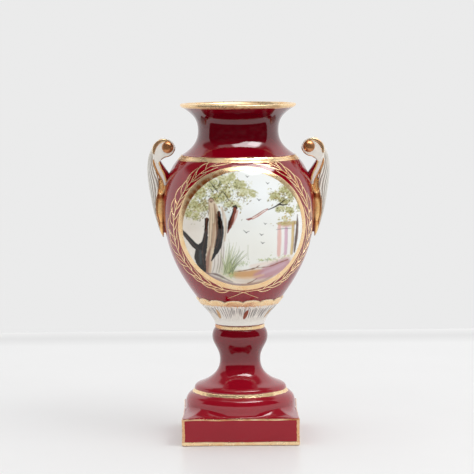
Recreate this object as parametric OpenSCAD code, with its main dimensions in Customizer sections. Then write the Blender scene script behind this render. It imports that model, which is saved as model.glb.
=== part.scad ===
// Pedestal urn in glazed porcelain: a hollow urn with two scroll handles,
// bolted through a turned pedestal to a square plinth by one tie rod.
// Millimetres, +Z up, the front faces -Y, the origin is on the floor on the urn's axis.

/* [Urn] */
// Height from the floor to the top of the rim
vase_h = 160; // [158:0.5:164]
// Radius of the flared lip
lip_r = 27.5; // [26.5:0.1:28.5]
// Radius of the neck where it is narrowest
neck_r = 19.2; // [18.4:0.1:20]
// Radius at the sharp shoulder edge
shoulder_r = 27.5; // [27:0.1:28]
// Largest radius of the bowl
belly_r = 36; // [35.6:0.1:36.4]
// Height of the bowl's widest point
belly_z = 109.5; // [108:0.5:111]
// Radius of the foot where the urn meets the pedestal
waist_r = 11.8; // [11.4:0.1:12.2]
// Thickness of the porcelain wall
wall = 3; // [2.6:0.1:3.4]

/* [Pedestal] */
// Height of the joint between the urn and the pedestal
joint_z = 53; // [52.5:0.1:53.5]
// Radius of the knop under the joint
knop_r = 13.3; // [12.8:0.1:13.8]
// Radius of the stem
stem_r = 9.7; // [9.2:0.1:10.2]
// Radius of the round torus that stands on the plinth
torus_r = 26.2; // [25.8:0.1:26.8]

/* [Plinth] */
// Side of the square plinth
plinth_w = 55.4; // [54.6:0.1:57]
// Height of the plinth
plinth_h = 13; // [12.6:0.1:13.4]
// Thickness of the plinth's side walls
plinth_wall = 4; // [3.4:0.1:5]

/* [Decoration] */
// Turn of the painted medallion from the front, towards +X
medallion_turn = 5; // [-10:1:10]
// Half the width of the painted medallion, seen from the front
medallion_rx = 28.9; // [27.5:0.1:29.5]
// Half the height of the painted medallion
medallion_rz = 27.2; // [26:0.1:27.6]
// Number of lobes round the calyx
lobes = 15; // [10:1:18]
// Thickness of the gilding and the enamel
coat_t = 0.15; // [0.1:0.05:0.25]

/* [Tie rod] */
// Outer diameter of the tie rod's thread
rod_d = 4; // [3.5:0.5:4]
// Width across the flats of its nuts
nut_af = 7; // [6.5:0.5:8]
// Clearance bore for the rod through the porcelain
bore_d = 5; // [4.6:0.1:5.4]

/* [Hidden] */
$fn = 96;

glaze = [0.45, 0.08, 0.14];
gold = [0.85, 0.66, 0.36];
white = [0.93, 0.92, 0.90];

// Heights along the urn, from the top down
lip_top = vase_h - coat_t;
lip_z = vase_h - 1.8;
neck_z = vase_h - 12.9;
shoulder_z = 135;
calyx_z = 67;
calyx_r = 20.1;
floor_z = 62;
floor_r = 9;

// Heights along the pedestal
knop_z = 48.5;
stem_z = 37.4;
flare_r = 16;
flare_z = 27.6;
groove_r = 22.1;
groove_z = 23.4;
torus_z = plinth_h + 4;

// Tie rod stack
gasket_t = 1;
washer_t = 1;
nut_h = 3.2;
rod_end = 1.4;
seal_t = 0.3;
spigot_r = 6.5;
spigot_h = 1.6;
recess_h = plinth_h - 3.5;
washer_r = 6;
gasket_r = 7;

// Handles
handle_w = 10;
eye = [33.5, 139.6];
volute = [36.1, 139.4];
volute_r = [5.9, 4.8];
leaf_tip = [36.2, 96.2];

// Gilding
ring_w = 2.1;
wreath_w = 5;
calyx_t = 0.45;
lobe_rise = 1.2;

overlap = 0.01;

// Points of a cubic curve from a to d, without d itself
function curve(a, b, c, d, n = 8) = [
    for (i = [0 : n - 1])
        let (t = i / n, s = 1 - t)
            s * s * s * a + 3 * t * s * s * b + 3 * t * t * s * c + t * t * t * d
];

// Radius of an outline, given from the top down, at height z
function radius_at(outline, z) = lookup(z, [for (p = outline) [p.y, p.x]]);

// The stretch of an outline between two heights, from the top down
function stretch(outline, low, high) = concat(
    [[radius_at(outline, high), high]],
    [for (p = outline) if (p.y > low && p.y < high) p],
    [[radius_at(outline, low), low]]
);

function moved_out(points, t) = [for (p = points) [p.x + t, p.y]];
function reversed(points) = [for (i = [len(points) - 1 : -1 : 0]) points[i]];

urn_outline = concat(
    [[lip_r - 0.5, lip_top], [lip_r - 0.1, lip_top - 0.3], [lip_r, lip_top - 0.8]],
    curve([lip_r - 1, lip_z], [lip_r - 5.9, lip_z - 3.3],
          [neck_r, neck_z + 5.8], [neck_r, neck_z]),
    curve([neck_r, neck_z], [neck_r, neck_z - 4.8],
          [shoulder_r - 5.9, shoulder_z + 4.1], [shoulder_r - 1, shoulder_z + 1]),
    curve([shoulder_r - 1, shoulder_z + 1], [shoulder_r - 0.4, shoulder_z + 1],
          [shoulder_r, shoulder_z + 0.6], [shoulder_r, shoulder_z], 3),
    curve([shoulder_r, shoulder_z], [shoulder_r + 6.1, shoulder_z - 5.4],
          [belly_r, belly_z + 11.5], [belly_r, belly_z], 10),
    curve([belly_r, belly_z], [belly_r, belly_z - 18.9],
          [calyx_r + 8.3, calyx_z + 11], [calyx_r, calyx_z], 12),
    curve([calyx_r, calyx_z], [calyx_r - 3.2, calyx_z - 4.8],
          [waist_r + 1, joint_z + 7.4], [waist_r, joint_z + 1.6]),
    [[waist_r, joint_z + 1.6], [waist_r, joint_z]]
);

urn_inside = concat(
    [[lip_r - 1.7, lip_top], [lip_r - 2.2, lip_top - 0.4]],
    curve([lip_r - 3.3, lip_z + 0.2], [lip_r - 8, lip_z - 3],
          [neck_r - wall, neck_z + 5.8], [neck_r - wall, neck_z]),
    curve([neck_r - wall, neck_z], [neck_r - wall, neck_z - 6],
          [shoulder_r - 6.5, shoulder_z + 1], [shoulder_r - 2.5, shoulder_z - 2.5]),
    curve([shoulder_r - 2.5, shoulder_z - 2.5], [shoulder_r + 3, shoulder_z - 8],
          [belly_r - wall, belly_z + 10], [belly_r - wall, belly_z]),
    curve([belly_r - wall, belly_z], [belly_r - wall, belly_z - 18],
          [calyx_r + 5, calyx_z + 10.5], [calyx_r - wall - 1, calyx_z], 10),
    [[calyx_r - wall - 1, calyx_z], [floor_r + 2, floor_z + 0.7], [floor_r, floor_z]]
);

pedestal_outline = concat(
    curve([waist_r + 0.1, joint_z - seal_t], [waist_r + 0.9, joint_z - 1.2],
          [knop_r, knop_z + 2], [knop_r, knop_z]),
    curve([knop_r, knop_z], [knop_r, knop_z - 3.9],
          [stem_r, stem_z + 5], [stem_r, stem_z]),
    curve([stem_r, stem_z], [stem_r, stem_z - 4.5],
          [flare_r - 4.2, flare_z + 2.4], [flare_r, flare_z]),
    curve([flare_r, flare_z], [flare_r + 3, flare_z - 1.7],
          [groove_r, groove_z + 2.5], [groove_r, groove_z]),
    curve([groove_r, groove_z], [groove_r, groove_z - 0.8],
          [groove_r + 0.1, groove_z - 1.1], [groove_r + 0.5, groove_z - 1.3], 3),
    curve([groove_r + 0.5, groove_z - 1.3], [torus_r - 0.8, groove_z - 2.4],
          [torus_r, torus_z + 1.9], [torus_r, torus_z]),
    curve([torus_r, torus_z], [torus_r, torus_z - 1.9],
          [torus_r - 0.2, plinth_h + 1], [torus_r + 0.6, plinth_h]),
    [[torus_r + 0.6, plinth_h]]
);

// A turned solid that fills an outline to the axis
module turned(outline) {
    last = len(outline) - 1;
    rotate_extrude()
        polygon(concat([[0, outline[0].y]], outline, [[0, outline[last].y]]));
}

// A coat of one thickness on a turned outline, between two heights
module band(outline, low, high, t = coat_t) {
    face = stretch(outline, low, high);
    rotate_extrude()
        polygon(concat(face, reversed(moved_out(face, t))));
}

// A flat ring with a hole, standing at height z
module washer(z, r, hole_d, t) {
    translate([0, 0, z])
        difference() {
            cylinder(r = r, h = t);
            translate([0, 0, -1])
                cylinder(d = hole_d, h = t + 2);
        }
}

// A hexagonal nut on the tie rod, standing at height z
module nut(z) {
    translate([0, 0, z])
        difference() {
            cylinder(d = nut_af / cos(30), h = nut_h, $fn = 6);
            translate([0, 0, -1])
                cylinder(d = rod_d, h = nut_h + 2);
        }
}

module urn_body() {
    color(glaze)
        difference() {
            union() {
                turned(urn_outline);
                translate([0, 0, joint_z - spigot_h])
                    cylinder(r = spigot_r, h = spigot_h + 1);
            }
            turned(concat([[lip_r - 1.7, lip_top + 1]], urn_inside));
            cylinder(d = bore_d, h = floor_z + 1);
        }
}

// The gap between two neighbouring lobes, cut radially
module lobe_gap() {
    lobe_w = 2 * PI * calyx_r / lobes;
    lobe_r = (lobe_w * lobe_w / 4 + lobe_rise * lobe_rise) / (2 * lobe_rise);
    translate([0, -calyx_r + 6, calyx_z + 1.05])
        rotate([90, 0, 0])
            linear_extrude(14)
                difference() {
                    translate([-lobe_w / 2, -lobe_rise - 0.01])
                        square([lobe_w, lobe_rise + 1]);
                    for (side = [-1, 1])
                        translate([side * lobe_w / 2, -lobe_r])
                            circle(r = lobe_r);
                }
}

// White relief with a scalloped top edge round the bottom of the bowl
module calyx() {
    top = calyx_z + 0.9;
    foot = joint_z + 1.7;
    face = stretch(urn_outline, foot, top);
    color(white)
        difference() {
            rotate_extrude()
                polygon(concat(face, reversed([
                    for (p = face) [p.x + calyx_t * min(1, 0.3 + (p.y - foot) / 6), p.y]
                ])));
            for (i = [0 : lobes - 1])
                rotate([0, 0, medallion_turn + i * 360 / lobes])
                    lobe_gap();
        }
}

// Side view of the right handle: a volute over a leaf that lies on the bowl
module handle_side() {
    polygon([
        for (i = [0 : 31])
            [volute.x + volute_r.x * cos(i * 360 / 32), volute.y + volute_r.y * sin(i * 360 / 32)]
    ]);
    polygon(concat(
        curve([41.9, 141], [43.6, 132], [43.8, 116], leaf_tip, 12),
        [leaf_tip, [30, leaf_tip.y], [30, 127], [33.8, 128], [36.8, 134.5], [36, 140]]
    ));
}

// Front view of the handle: widest at the leaf, narrow at its tip
module handle_front() {
    half = handle_w / 2;
    edge = concat(
        curve([half - 1.4, 145], [half - 0.6, 145], [half - 0.6, 140], [half - 1, 134], 5),
        curve([half - 1, 134], [half + 0.6, 128], [half + 0.4, 112], [1.4, leaf_tip.y - 0.2], 8),
        [[1.4, leaf_tip.y - 0.2]]
    );
    polygon(concat(edge, reversed([for (p = edge) [-p.x, p.y]])));
}

module handle() {
    color(white)
        difference() {
            union() {
                intersection() {
                    rotate([90, 0, 0])
                        translate([0, 0, -handle_w])
                            linear_extrude(2 * handle_w)
                                handle_side();
                    rotate([90, 0, 90])
                        linear_extrude(60)
                            handle_front();
                }
                translate([eye.x, handle_w / 2, eye.y])
                    rotate([90, 0, 0])
                        cylinder(r = 2.8, h = handle_w);
            }
            turned(urn_outline);
        }
}

module right_handle() {
    handle();
}

module left_handle() {
    mirror([1, 0, 0])
        handle();
}

module pedestal() {
    color(glaze)
        difference() {
            turned(pedestal_outline);
            cylinder(d = bore_d, h = joint_z);
            translate([0, 0, joint_z - spigot_h - 0.4])
                cylinder(r = spigot_r + 0.3, h = spigot_h + 1);
            translate([0, 0, plinth_h - 1])
                cylinder(r = torus_r - 7.2, h = 6);
            translate([0, 0, plinth_h + 5 - overlap])
                cylinder(r1 = torus_r - 7.2, r2 = 6, h = 8);
        }
}

// A square slab with small chamfers on its four upright corners
module plinth_block(w, low, high, corner = 0.5) {
    h = w / 2;
    translate([0, 0, low])
        linear_extrude(high - low)
            polygon([
                for (turn = [0 : 90 : 270], p = [[h, h - corner], [h - corner, h]])
                    [p.x * cos(turn) - p.y * sin(turn), p.x * sin(turn) + p.y * cos(turn)]
            ]);
}

module plinth() {
    inside = plinth_w - 2 * plinth_wall;
    color(glaze)
        difference() {
            plinth_block(plinth_w, 0, plinth_h);
            plinth_block(inside, -1, recess_h, 3);
            cylinder(d = bore_d, h = plinth_h + 1);
        }
}

module tie_rod() {
    low = recess_h - gasket_t - washer_t - nut_h - rod_end;
    high = floor_z + gasket_t + washer_t + nut_h + rod_end;
    color("silver")
        translate([0, 0, low])
            cylinder(d = rod_d, h = high - low);
}

module upper_gasket() {
    color("dimgray") washer(floor_z, gasket_r, bore_d, gasket_t);
}

module upper_washer() {
    color("silver") washer(floor_z + gasket_t, washer_r, rod_d + 0.3, washer_t);
}

module upper_nut() {
    color("silver") nut(floor_z + gasket_t + washer_t);
}

module joint_gasket() {
    color("dimgray") washer(joint_z - seal_t, waist_r - 0.8, 2 * spigot_r + 0.6, seal_t);
}

module lower_gasket() {
    color("dimgray") washer(recess_h - gasket_t, gasket_r, bore_d, gasket_t);
}

module lower_washer() {
    color("silver") washer(recess_h - gasket_t - washer_t, washer_r, rod_d + 0.3, washer_t);
}

module lower_nut() {
    color("silver") nut(recess_h - gasket_t - washer_t - nut_h);
}

// Gold that wraps over the lip, outside and in
module rim_gilding() {
    low = vase_h - 2.3;
    outer = stretch(urn_outline, low, lip_top - overlap);
    inner = stretch(urn_inside, low, lip_top - overlap);
    color(gold)
        difference() {
            rotate_extrude()
                polygon(concat(
                    [[inner[0].x, vase_h]],
                    [[outer[0].x - 0.1, vase_h]],
                    moved_out(outer, coat_t),
                    reversed(moved_out(inner, -coat_t))
                ));
            rotate_extrude()
                polygon(concat(
                    [for (p = outer) [p.x, p.y == outer[0].y ? lip_top : p.y]],
                    [[outer[len(outer) - 1].x, low - 1], [inner[len(inner) - 1].x, low - 1]],
                    reversed([for (p = inner) [p.x, p.y == inner[0].y ? lip_top : p.y]])
                ));
        }
}

module shoulder_gilding() {
    color(gold) band(urn_outline, shoulder_z - 1.6, shoulder_z + 0.7);
}

module waist_gilding() {
    color(gold) band(urn_outline, joint_z + 0.1, joint_z + 1.6);
}

module foot_gilding() {
    color(gold) band(pedestal_outline, groove_z - 1.5, groove_z + 0.1);
}

// A bar along -Y with an oval cross-section, for cutting shapes out of a coat
module oval_bar(rx, rz) {
    centre_z = shoulder_z - 4.5 - medallion_rz;
    rotate([0, 0, medallion_turn])
        translate([0, 0, centre_z])
            rotate([90, 0, 0])
                linear_extrude(60)
                    polygon([for (i = [0 : 47]) [rx * cos(i * 7.5), rz * sin(i * 7.5)]]);
}

medallion_low = shoulder_z - 4.5 - 2 * medallion_rz;
coat_top = shoulder_z - 1.7;

module medallion() {
    color(white)
        intersection() {
            band(urn_outline, medallion_low - 1, coat_top);
            oval_bar(medallion_rx, medallion_rz);
        }
}

module medallion_ring() {
    color(gold)
        difference() {
            intersection() {
                band(urn_outline, medallion_low - ring_w - 1, coat_top);
                oval_bar(medallion_rx + ring_w, medallion_rz + ring_w);
            }
            oval_bar(medallion_rx, medallion_rz);
        }
}

module laurel_wreath() {
    color(gold)
        difference() {
            intersection() {
                band(urn_outline, medallion_low - ring_w - wreath_w, coat_top);
                oval_bar(medallion_rx + ring_w + 3.4, medallion_rz + ring_w + wreath_w - 0.6);
            }
            oval_bar(medallion_rx + ring_w + 0.6, medallion_rz + ring_w + 0.6);
        }
}

// Gold round the plinth's top edge
module plinth_edge_gilding() {
    color(gold)
        difference() {
            plinth_block(plinth_w + 2 * coat_t, plinth_h - 1.2, plinth_h);
            plinth_block(plinth_w, plinth_h - 2, plinth_h + 1);
        }
}

// Gold band round the plinth's foot
module plinth_foot_gilding() {
    color(gold)
        difference() {
            plinth_block(plinth_w + 2 * coat_t, 0.3, 2.1);
            plinth_block(plinth_w, 0, 3);
        }
}

urn_body();
calyx();
left_handle();
right_handle();
pedestal();
plinth();
tie_rod();
upper_nut();
upper_washer();
upper_gasket();
joint_gasket();
lower_gasket();
lower_washer();
lower_nut();
rim_gilding();
shoulder_gilding();
medallion();
medallion_ring();
laurel_wreath();
waist_gilding();
foot_gilding();
plinth_edge_gilding();
plinth_foot_gilding();
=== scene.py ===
"""Porcelain pedestal urn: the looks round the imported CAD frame.

Lengths are in millimetres inside the shape functions and become metres when a mesh is made.
Camera, stage, light and the positions inside materials are in metres.
"""

import math

import bmesh
import bpy
import numpy as np
from mathutils import Matrix, Vector
from mathutils.bvhtree import BVHTree


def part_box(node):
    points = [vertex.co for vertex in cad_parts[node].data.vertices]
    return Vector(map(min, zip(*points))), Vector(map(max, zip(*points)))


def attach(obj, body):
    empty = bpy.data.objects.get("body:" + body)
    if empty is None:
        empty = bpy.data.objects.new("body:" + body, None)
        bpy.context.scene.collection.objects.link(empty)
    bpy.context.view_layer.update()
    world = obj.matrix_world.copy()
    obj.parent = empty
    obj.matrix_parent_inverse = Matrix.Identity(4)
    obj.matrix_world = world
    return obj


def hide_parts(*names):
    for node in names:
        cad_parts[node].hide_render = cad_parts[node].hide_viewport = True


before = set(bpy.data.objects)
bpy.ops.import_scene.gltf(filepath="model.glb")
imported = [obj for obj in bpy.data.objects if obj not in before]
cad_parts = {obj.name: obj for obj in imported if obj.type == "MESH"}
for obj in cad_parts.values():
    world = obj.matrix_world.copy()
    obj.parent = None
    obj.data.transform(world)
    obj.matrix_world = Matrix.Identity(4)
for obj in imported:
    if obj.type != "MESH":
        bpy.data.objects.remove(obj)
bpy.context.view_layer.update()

MM = 0.001


def placed_object(name, data):
    """A new object in the scene."""
    obj = bpy.data.objects.new(name, data)
    bpy.context.scene.collection.objects.link(obj)
    return obj


# ---------------------------------------------------------------- camera
CAMERA_DISTANCE = 0.950
CAMERA_HEIGHT = 0.191
LENS = 151.44
PITCH_DOWN = math.radians(5.708)
ROLL = math.radians(-0.5)
SIDE_SHIFT = -0.0010


def make_camera():
    """The camera of the photo view."""
    data = bpy.data.cameras.new("camera")
    data.lens = LENS
    data.sensor_width = 36.0
    data.clip_start = 0.05
    data.clip_end = 20.0
    camera = placed_object("camera", data)
    camera.location = (SIDE_SHIFT, -CAMERA_DISTANCE, CAMERA_HEIGHT)
    camera.rotation_mode = "XYZ"
    aim = Vector((0, math.cos(PITCH_DOWN), -math.sin(PITCH_DOWN)))
    turn = aim.to_track_quat("-Z", "Y").to_matrix().to_4x4()
    roll = Matrix.Rotation(ROLL, 4, "Z")
    camera.rotation_euler = (turn @ roll).to_euler()
    bpy.context.scene.camera = camera


make_camera()


# ---------------------------------------------------------------- colours
def lin(r, g, b):
    """An 8 bit screen colour as linear light."""
    def channel(c):
        c /= 255.0
        return c / 12.92 if c <= 0.04045 else ((c + 0.055) / 1.055) ** 2.4
    return np.array([channel(r), channel(g), channel(b)])


WHITE = lin(238, 234, 226)


# ---------------------------------------------------------------- node materials
class Nodes:
    """A small helper that adds nodes and links to one material."""

    def __init__(self, name):
        self.material = bpy.data.materials.new(name)
        self.material.use_nodes = True
        self.tree = self.material.node_tree
        self.shader = self.tree.nodes["Principled BSDF"]
        self.coordinates = self.tree.nodes.new("ShaderNodeTexCoord").outputs["Object"]

    def link(self, output, socket):
        self.tree.links.new(output, socket)

    def noise(self, scale, detail=3.0, roughness=0.5):
        node = self.tree.nodes.new("ShaderNodeTexNoise")
        node.inputs["Scale"].default_value = scale
        node.inputs["Detail"].default_value = detail
        node.inputs["Roughness"].default_value = roughness
        self.link(self.coordinates, node.inputs["Vector"])
        return node.outputs["Fac"]

    def ramp(self, value, low, high, start=0.3, end=0.7):
        node = self.tree.nodes.new("ShaderNodeMapRange")
        node.inputs["From Min"].default_value = start
        node.inputs["From Max"].default_value = end
        node.inputs["To Min"].default_value = low
        node.inputs["To Max"].default_value = high
        self.link(value, node.inputs["Value"])
        return node.outputs["Result"]

    def mix(self, factor, a, b, blend="MIX"):
        node = self.tree.nodes.new("ShaderNodeMix")
        node.data_type = "RGBA"
        node.blend_type = blend
        for socket, value in (("Factor", factor), ("A", a), ("B", b)):
            target = [s for s in node.inputs if s.name == socket and s.enabled][0]
            if isinstance(value, bpy.types.NodeSocket):
                self.link(value, target)
            elif socket == "Factor":
                target.default_value = value
            else:
                target.default_value = (*value, 1.0)
        return [s for s in node.outputs if s.enabled][0]

    def layer(self, name, output):
        """A layer of the mesh: its Color or its Fac."""
        node = self.tree.nodes.new("ShaderNodeAttribute")
        node.attribute_name = name
        return node.outputs[output]

    def axes(self):
        """The x, y and z of the point, in metres."""
        node = self.tree.nodes.new("ShaderNodeSeparateXYZ")
        self.link(self.coordinates, node.inputs[0])
        return node.outputs

    def product(self, a, b):
        node = self.tree.nodes.new("ShaderNodeMath")
        node.operation = "MULTIPLY"
        self.link(a, node.inputs[0])
        self.link(b, node.inputs[1])
        return node.outputs[0]

    def finish(self, colour, roughness):
        """Links the base colour and the roughness."""
        self.link(colour, self.shader.inputs["Base Color"])
        self.link(roughness, self.shader.inputs["Roughness"])

    def bump(self, *layers):
        """Stacks bump layers given as (height, distance in metres, strength)."""
        normal = None
        for height, distance, strength in layers:
            node = self.tree.nodes.new("ShaderNodeBump")
            node.inputs["Distance"].default_value = distance
            node.inputs["Strength"].default_value = strength
            self.link(height, node.inputs["Height"])
            if normal is not None:
                self.link(normal, node.inputs["Normal"])
            normal = node.outputs["Normal"]
        self.link(normal, self.shader.inputs["Normal"])


def glaze_finish(nodes, roughness, ior):
    """Glass-smooth glaze with slight pooling and a faint orange peel."""
    nodes.shader.inputs["IOR"].default_value = ior
    nodes.link(
        nodes.ramp(nodes.noise(160, 4), roughness * 0.7, roughness * 1.7),
        nodes.shader.inputs["Roughness"],
    )
    nodes.bump(
        (nodes.noise(60, 2), 0.0009, 0.2),
        (nodes.noise(420, 2), 0.00005, 0.3),
    )


def burgundy_material():
    """Burgundy ground with a random tone: painted shade darkens the neck under the lip and the stem, painted light
    makes the foot redder, and the plinth is duller.
    """
    nodes = Nodes("burgundy_glaze")
    broad = nodes.ramp(nodes.noise(45, 3), 0.0, 1.0)
    colour = nodes.mix(broad, lin(126, 0, 19), lin(142, 1, 25))
    fine = nodes.ramp(nodes.noise(900, 3, 0.6), 0.0, 0.3, 0.45, 0.75)
    colour = nodes.mix(fine, colour, lin(104, 0, 16))
    height = nodes.axes()[2]
    # Painted shade: the neck under the overhanging lip is darkened.
    neck = nodes.product(nodes.ramp(height, 0.0, 0.78, 0.1385, 0.1440), nodes.ramp(height, 1.0, 0.45, 0.1555, 0.1575))
    colour = nodes.mix(neck, colour, lin(66, 0, 8))
    # Painted shade: the stem is darkened.
    stem = nodes.product(nodes.ramp(height, 0.0, 0.4, 0.030, 0.036), nodes.ramp(height, 1.0, 0.0, 0.056, 0.070))
    colour = nodes.mix(stem, colour, lin(70, 0, 8))
    # Painted light: below 30 mm (the flare, torus and plinth) the colour is mixed half way towards a lighter, pinker
    # red.
    colour = nodes.mix(nodes.ramp(height, 0.5, 0.0, 0.030, 0.038), colour, lin(166, 20, 40))
    nodes.link(colour, nodes.shader.inputs["Base Color"])
    nodes.link(nodes.ramp(height, 0.26, 0.5, 0.0122, 0.0140), nodes.shader.inputs["Specular IOR Level"])
    glaze_finish(nodes, 0.05, 1.68)
    return nodes.material


def painted_material(name):
    """White or painted porcelain: the colour comes from the piece's own paint layer."""
    nodes = Nodes(name)
    tint = nodes.ramp(nodes.noise(70, 3), 0.0, 0.12)
    colour = nodes.mix(tint, nodes.layer("paint", "Color"), lin(226, 220, 206), "MULTIPLY")
    nodes.link(colour, nodes.shader.inputs["Base Color"])
    glaze_finish(nodes, 0.05, 1.5)
    return nodes.material


def porcelain_material(name, colour, roughness):
    """Plain porcelain with faint specks, glazed or not."""
    nodes = Nodes(name)
    speck = nodes.ramp(nodes.noise(1400, 2), 0.0, 0.5, 0.62, 0.8)
    shade = nodes.mix(nodes.ramp(nodes.noise(60, 3), 0.0, 0.25), colour, lin(206, 199, 186))
    nodes.shader.inputs["IOR"].default_value = 1.5
    nodes.finish(nodes.mix(speck, shade, lin(168, 158, 142)),
                 nodes.ramp(nodes.noise(300, 3), roughness * 0.8, min(1.0, roughness * 1.3)))
    nodes.bump((nodes.noise(1600, 3), 0.00008, 0.4))
    return nodes.material


def gold_material(name="gilding", metal=0.74, thick=(255, 228, 184), streak=(246, 200, 142)):
    """Burnished liquid gold: peach where thick, browner in streaks and where the brown layer says, which on the ring
    and the waist band is a painted dark reflection.
    """
    nodes = Nodes(name)
    nodes.shader.inputs["Metallic"].default_value = metal
    thin = nodes.ramp(nodes.noise(260, 4, 0.6), 0.0, 1.0, 0.35, 0.75)
    colour = nodes.mix(thin, lin(*thick), lin(*streak))
    worn = nodes.ramp(nodes.noise(1300, 3, 0.7), 0.0, 0.3, 0.66, 0.78)
    colour = nodes.mix(worn, colour, lin(168, 104, 62))
    colour = nodes.mix(nodes.layer("brown", "Fac"), colour, lin(190, 104, 48))
    nodes.finish(colour, nodes.ramp(nodes.noise(500, 3), 0.24, 0.36))
    nodes.bump(
        (nodes.noise(150, 2), 0.0004, 0.2),
        (nodes.noise(900, 2), 0.00003, 0.25),
    )
    return nodes.material


def steel_material():
    """Dull bright steel of the rod, nuts and washers."""
    nodes = Nodes("rod_steel")
    nodes.shader.inputs["Metallic"].default_value = 1.0
    colour = nodes.mix(nodes.ramp(nodes.noise(500, 4), 0.0, 1.0), lin(190, 190, 188), lin(140, 138, 132))
    nodes.finish(colour, nodes.ramp(nodes.noise(1200, 3), 0.25, 0.5))
    nodes.bump((nodes.noise(2600, 2), 0.00003, 0.5))
    return nodes.material


def rubber_material():
    """Dark rubber of the gaskets."""
    nodes = Nodes("gasket_rubber")
    colour = nodes.mix(nodes.ramp(nodes.noise(900, 3), 0.0, 1.0), lin(34, 34, 36), lin(58, 56, 54))
    nodes.finish(colour, nodes.ramp(nodes.noise(700, 3), 0.6, 0.85))
    nodes.bump((nodes.noise(3000, 2), 0.00005, 0.6))
    return nodes.material


burgundy = burgundy_material()
gold = gold_material()
soft_gold = gold_material("soft_gilding", 0.3, (255, 218, 152), (250, 182, 108))
white_glaze = porcelain_material("white_glaze", WHITE, 0.09)
biscuit = porcelain_material("unglazed_porcelain", lin(226, 220, 208), 0.7)
painted = painted_material("painted_porcelain")
steel = steel_material()
rubber = rubber_material()


# ---------------------------------------------------------------- mesh helpers
def piece(name, verts_mm, faces, materials, slot, nodes=(), indices=None, paint=None, sharp=40, brown=None):
    """Makes a mesh piece, lets it ride on the root and stand for CAD nodes."""
    mesh = bpy.data.meshes.new(name)
    verts = np.asarray(verts_mm, float) * MM
    mesh.from_pydata(verts.tolist(), [], [list(map(int, f)) for f in faces])
    for material in materials:
        mesh.materials.append(material)
    if indices is not None:
        mesh.polygons.foreach_set("material_index", np.asarray(indices, np.int32))
    if paint is not None:
        layer = mesh.color_attributes.new("paint", "FLOAT_COLOR", "POINT")
        rgba = np.ones((len(verts), 4), np.float32)
        rgba[:, :3] = paint
        layer.data.foreach_set("color", rgba.ravel())
    if brown is not None:
        mesh.attributes.new("brown", "FLOAT", "POINT").data.foreach_set("value", np.asarray(brown, np.float32))
    mesh.validate()
    faced = bmesh.new()
    faced.from_mesh(mesh)
    bmesh.ops.recalc_face_normals(faced, faces=faced.faces)
    faced.to_mesh(mesh)
    faced.free()
    mesh.shade_smooth()
    if sharp:
        mesh.set_sharp_from_angle(angle=math.radians(sharp))
    obj = placed_object(name, mesh)
    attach(obj, "root")
    if nodes:
        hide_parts(*nodes)
    return obj


def grid_faces(rows, columns, close_rows=False, close_columns=True):
    """Quads of a grid of rows by columns vertices, wrapped round where asked."""
    i, j = np.meshgrid(
        np.arange(rows if close_rows else rows - 1),
        np.arange(columns if close_columns else columns - 1),
        indexing="ij",
    )
    i, j = i.ravel(), j.ravel()
    i2, j2 = (i + 1) % rows, (j + 1) % columns
    return np.stack([i * columns + j, i2 * columns + j, i2 * columns + j2, i * columns + j2], 1)


def spin(outline, count):
    """Vertices of an outline of (r, z) turned round Z, one row for each point."""
    angle = np.arange(count) * 2 * np.pi / count - np.pi / 2
    r = np.asarray(outline)[:, 0][:, None]
    z = np.asarray(outline)[:, 1][:, None] + 0 * angle
    return np.stack([r * np.cos(angle), r * np.sin(angle), z], -1).reshape(-1, 3)


def smoothed(points, step, corner=32.0):
    """A Catmull-Rom curve through points that keeps corners sharper than corner degrees."""
    points = np.asarray(points, float)
    keep = [0]
    for k in range(1, len(points) - 1):
        a, b = points[k] - points[k - 1], points[k + 1] - points[k]
        cosine = a @ b / (np.linalg.norm(a) * np.linalg.norm(b) + 1e-9)
        if math.degrees(math.acos(max(-1, min(1, cosine)))) > corner:
            keep.append(k)
    keep.append(len(points) - 1)
    result = []
    for first, last in zip(keep[:-1], keep[1:]):
        run = points[first:last + 1]
        padded = np.vstack([2 * run[0] - run[1], run, 2 * run[-1] - run[-2]])
        for k in range(1, len(run)):
            p0, p1, p2, p3 = padded[k - 1], padded[k], padded[k + 1], padded[k + 2]
            count = max(1, int(round(np.linalg.norm(p2 - p1) / step)))
            for t in np.arange(count) / count:
                result.append(0.5 * (
                    2 * p1 + (p2 - p0) * t + (2 * p0 - 5 * p1 + 4 * p2 - p3) * t * t
                    + (3 * p1 - p0 - 3 * p2 + p3) * t ** 3
                ))
    result.append(points[-1])
    return np.array(result)


def turned(name, outline, count, materials, slot, nodes=(), indices=None, **options):
    """A closed outline of (r, z) turned into a ring-shaped solid."""
    rows = len(outline)
    faces = grid_faces(rows, count, close_rows=True)
    if indices is not None:
        indices = np.repeat(np.asarray(indices), count)
    return piece(name, spin(outline, count), faces[:, ::-1], materials, slot, nodes, indices, **options)


# ---------------------------------------------------------------- outlines from the CAD
def cad_stations(node):
    """A ray caster and the sorted heights of a turned CAD node, in millimetres."""
    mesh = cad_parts[node].data
    co = np.array([v.co for v in mesh.vertices]) / MM
    tree = BVHTree.FromPolygons(
        [Vector(c) for c in co], [tuple(p.vertices) for p in mesh.polygons]
    )
    return tree, sorted(set(np.round(co[:, 2], 2)))


# Where rays start outside and inside a turned node, and how far they stay from its seam and its ends
FAR, NEAR_AXIS, HAIR = 100.0, 0.1, 0.01


def outline_of(node, low, high, start, towards):
    """The outline of a turned CAD node between two heights, from the bottom up, where rays from start meet it."""
    tree, heights = cad_stations(node)
    result = []
    for z in [low] + [h for h in heights if low + 0.05 < h < high - 0.05] + [high]:
        inward = min(max(z, low + HAIR), high - HAIR)
        hit = tree.ray_cast(Vector((start, HAIR, inward)), Vector((towards, 0, 0)))[0]
        result.append((hit.x, z))
    return thinned(np.array(result))


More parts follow.
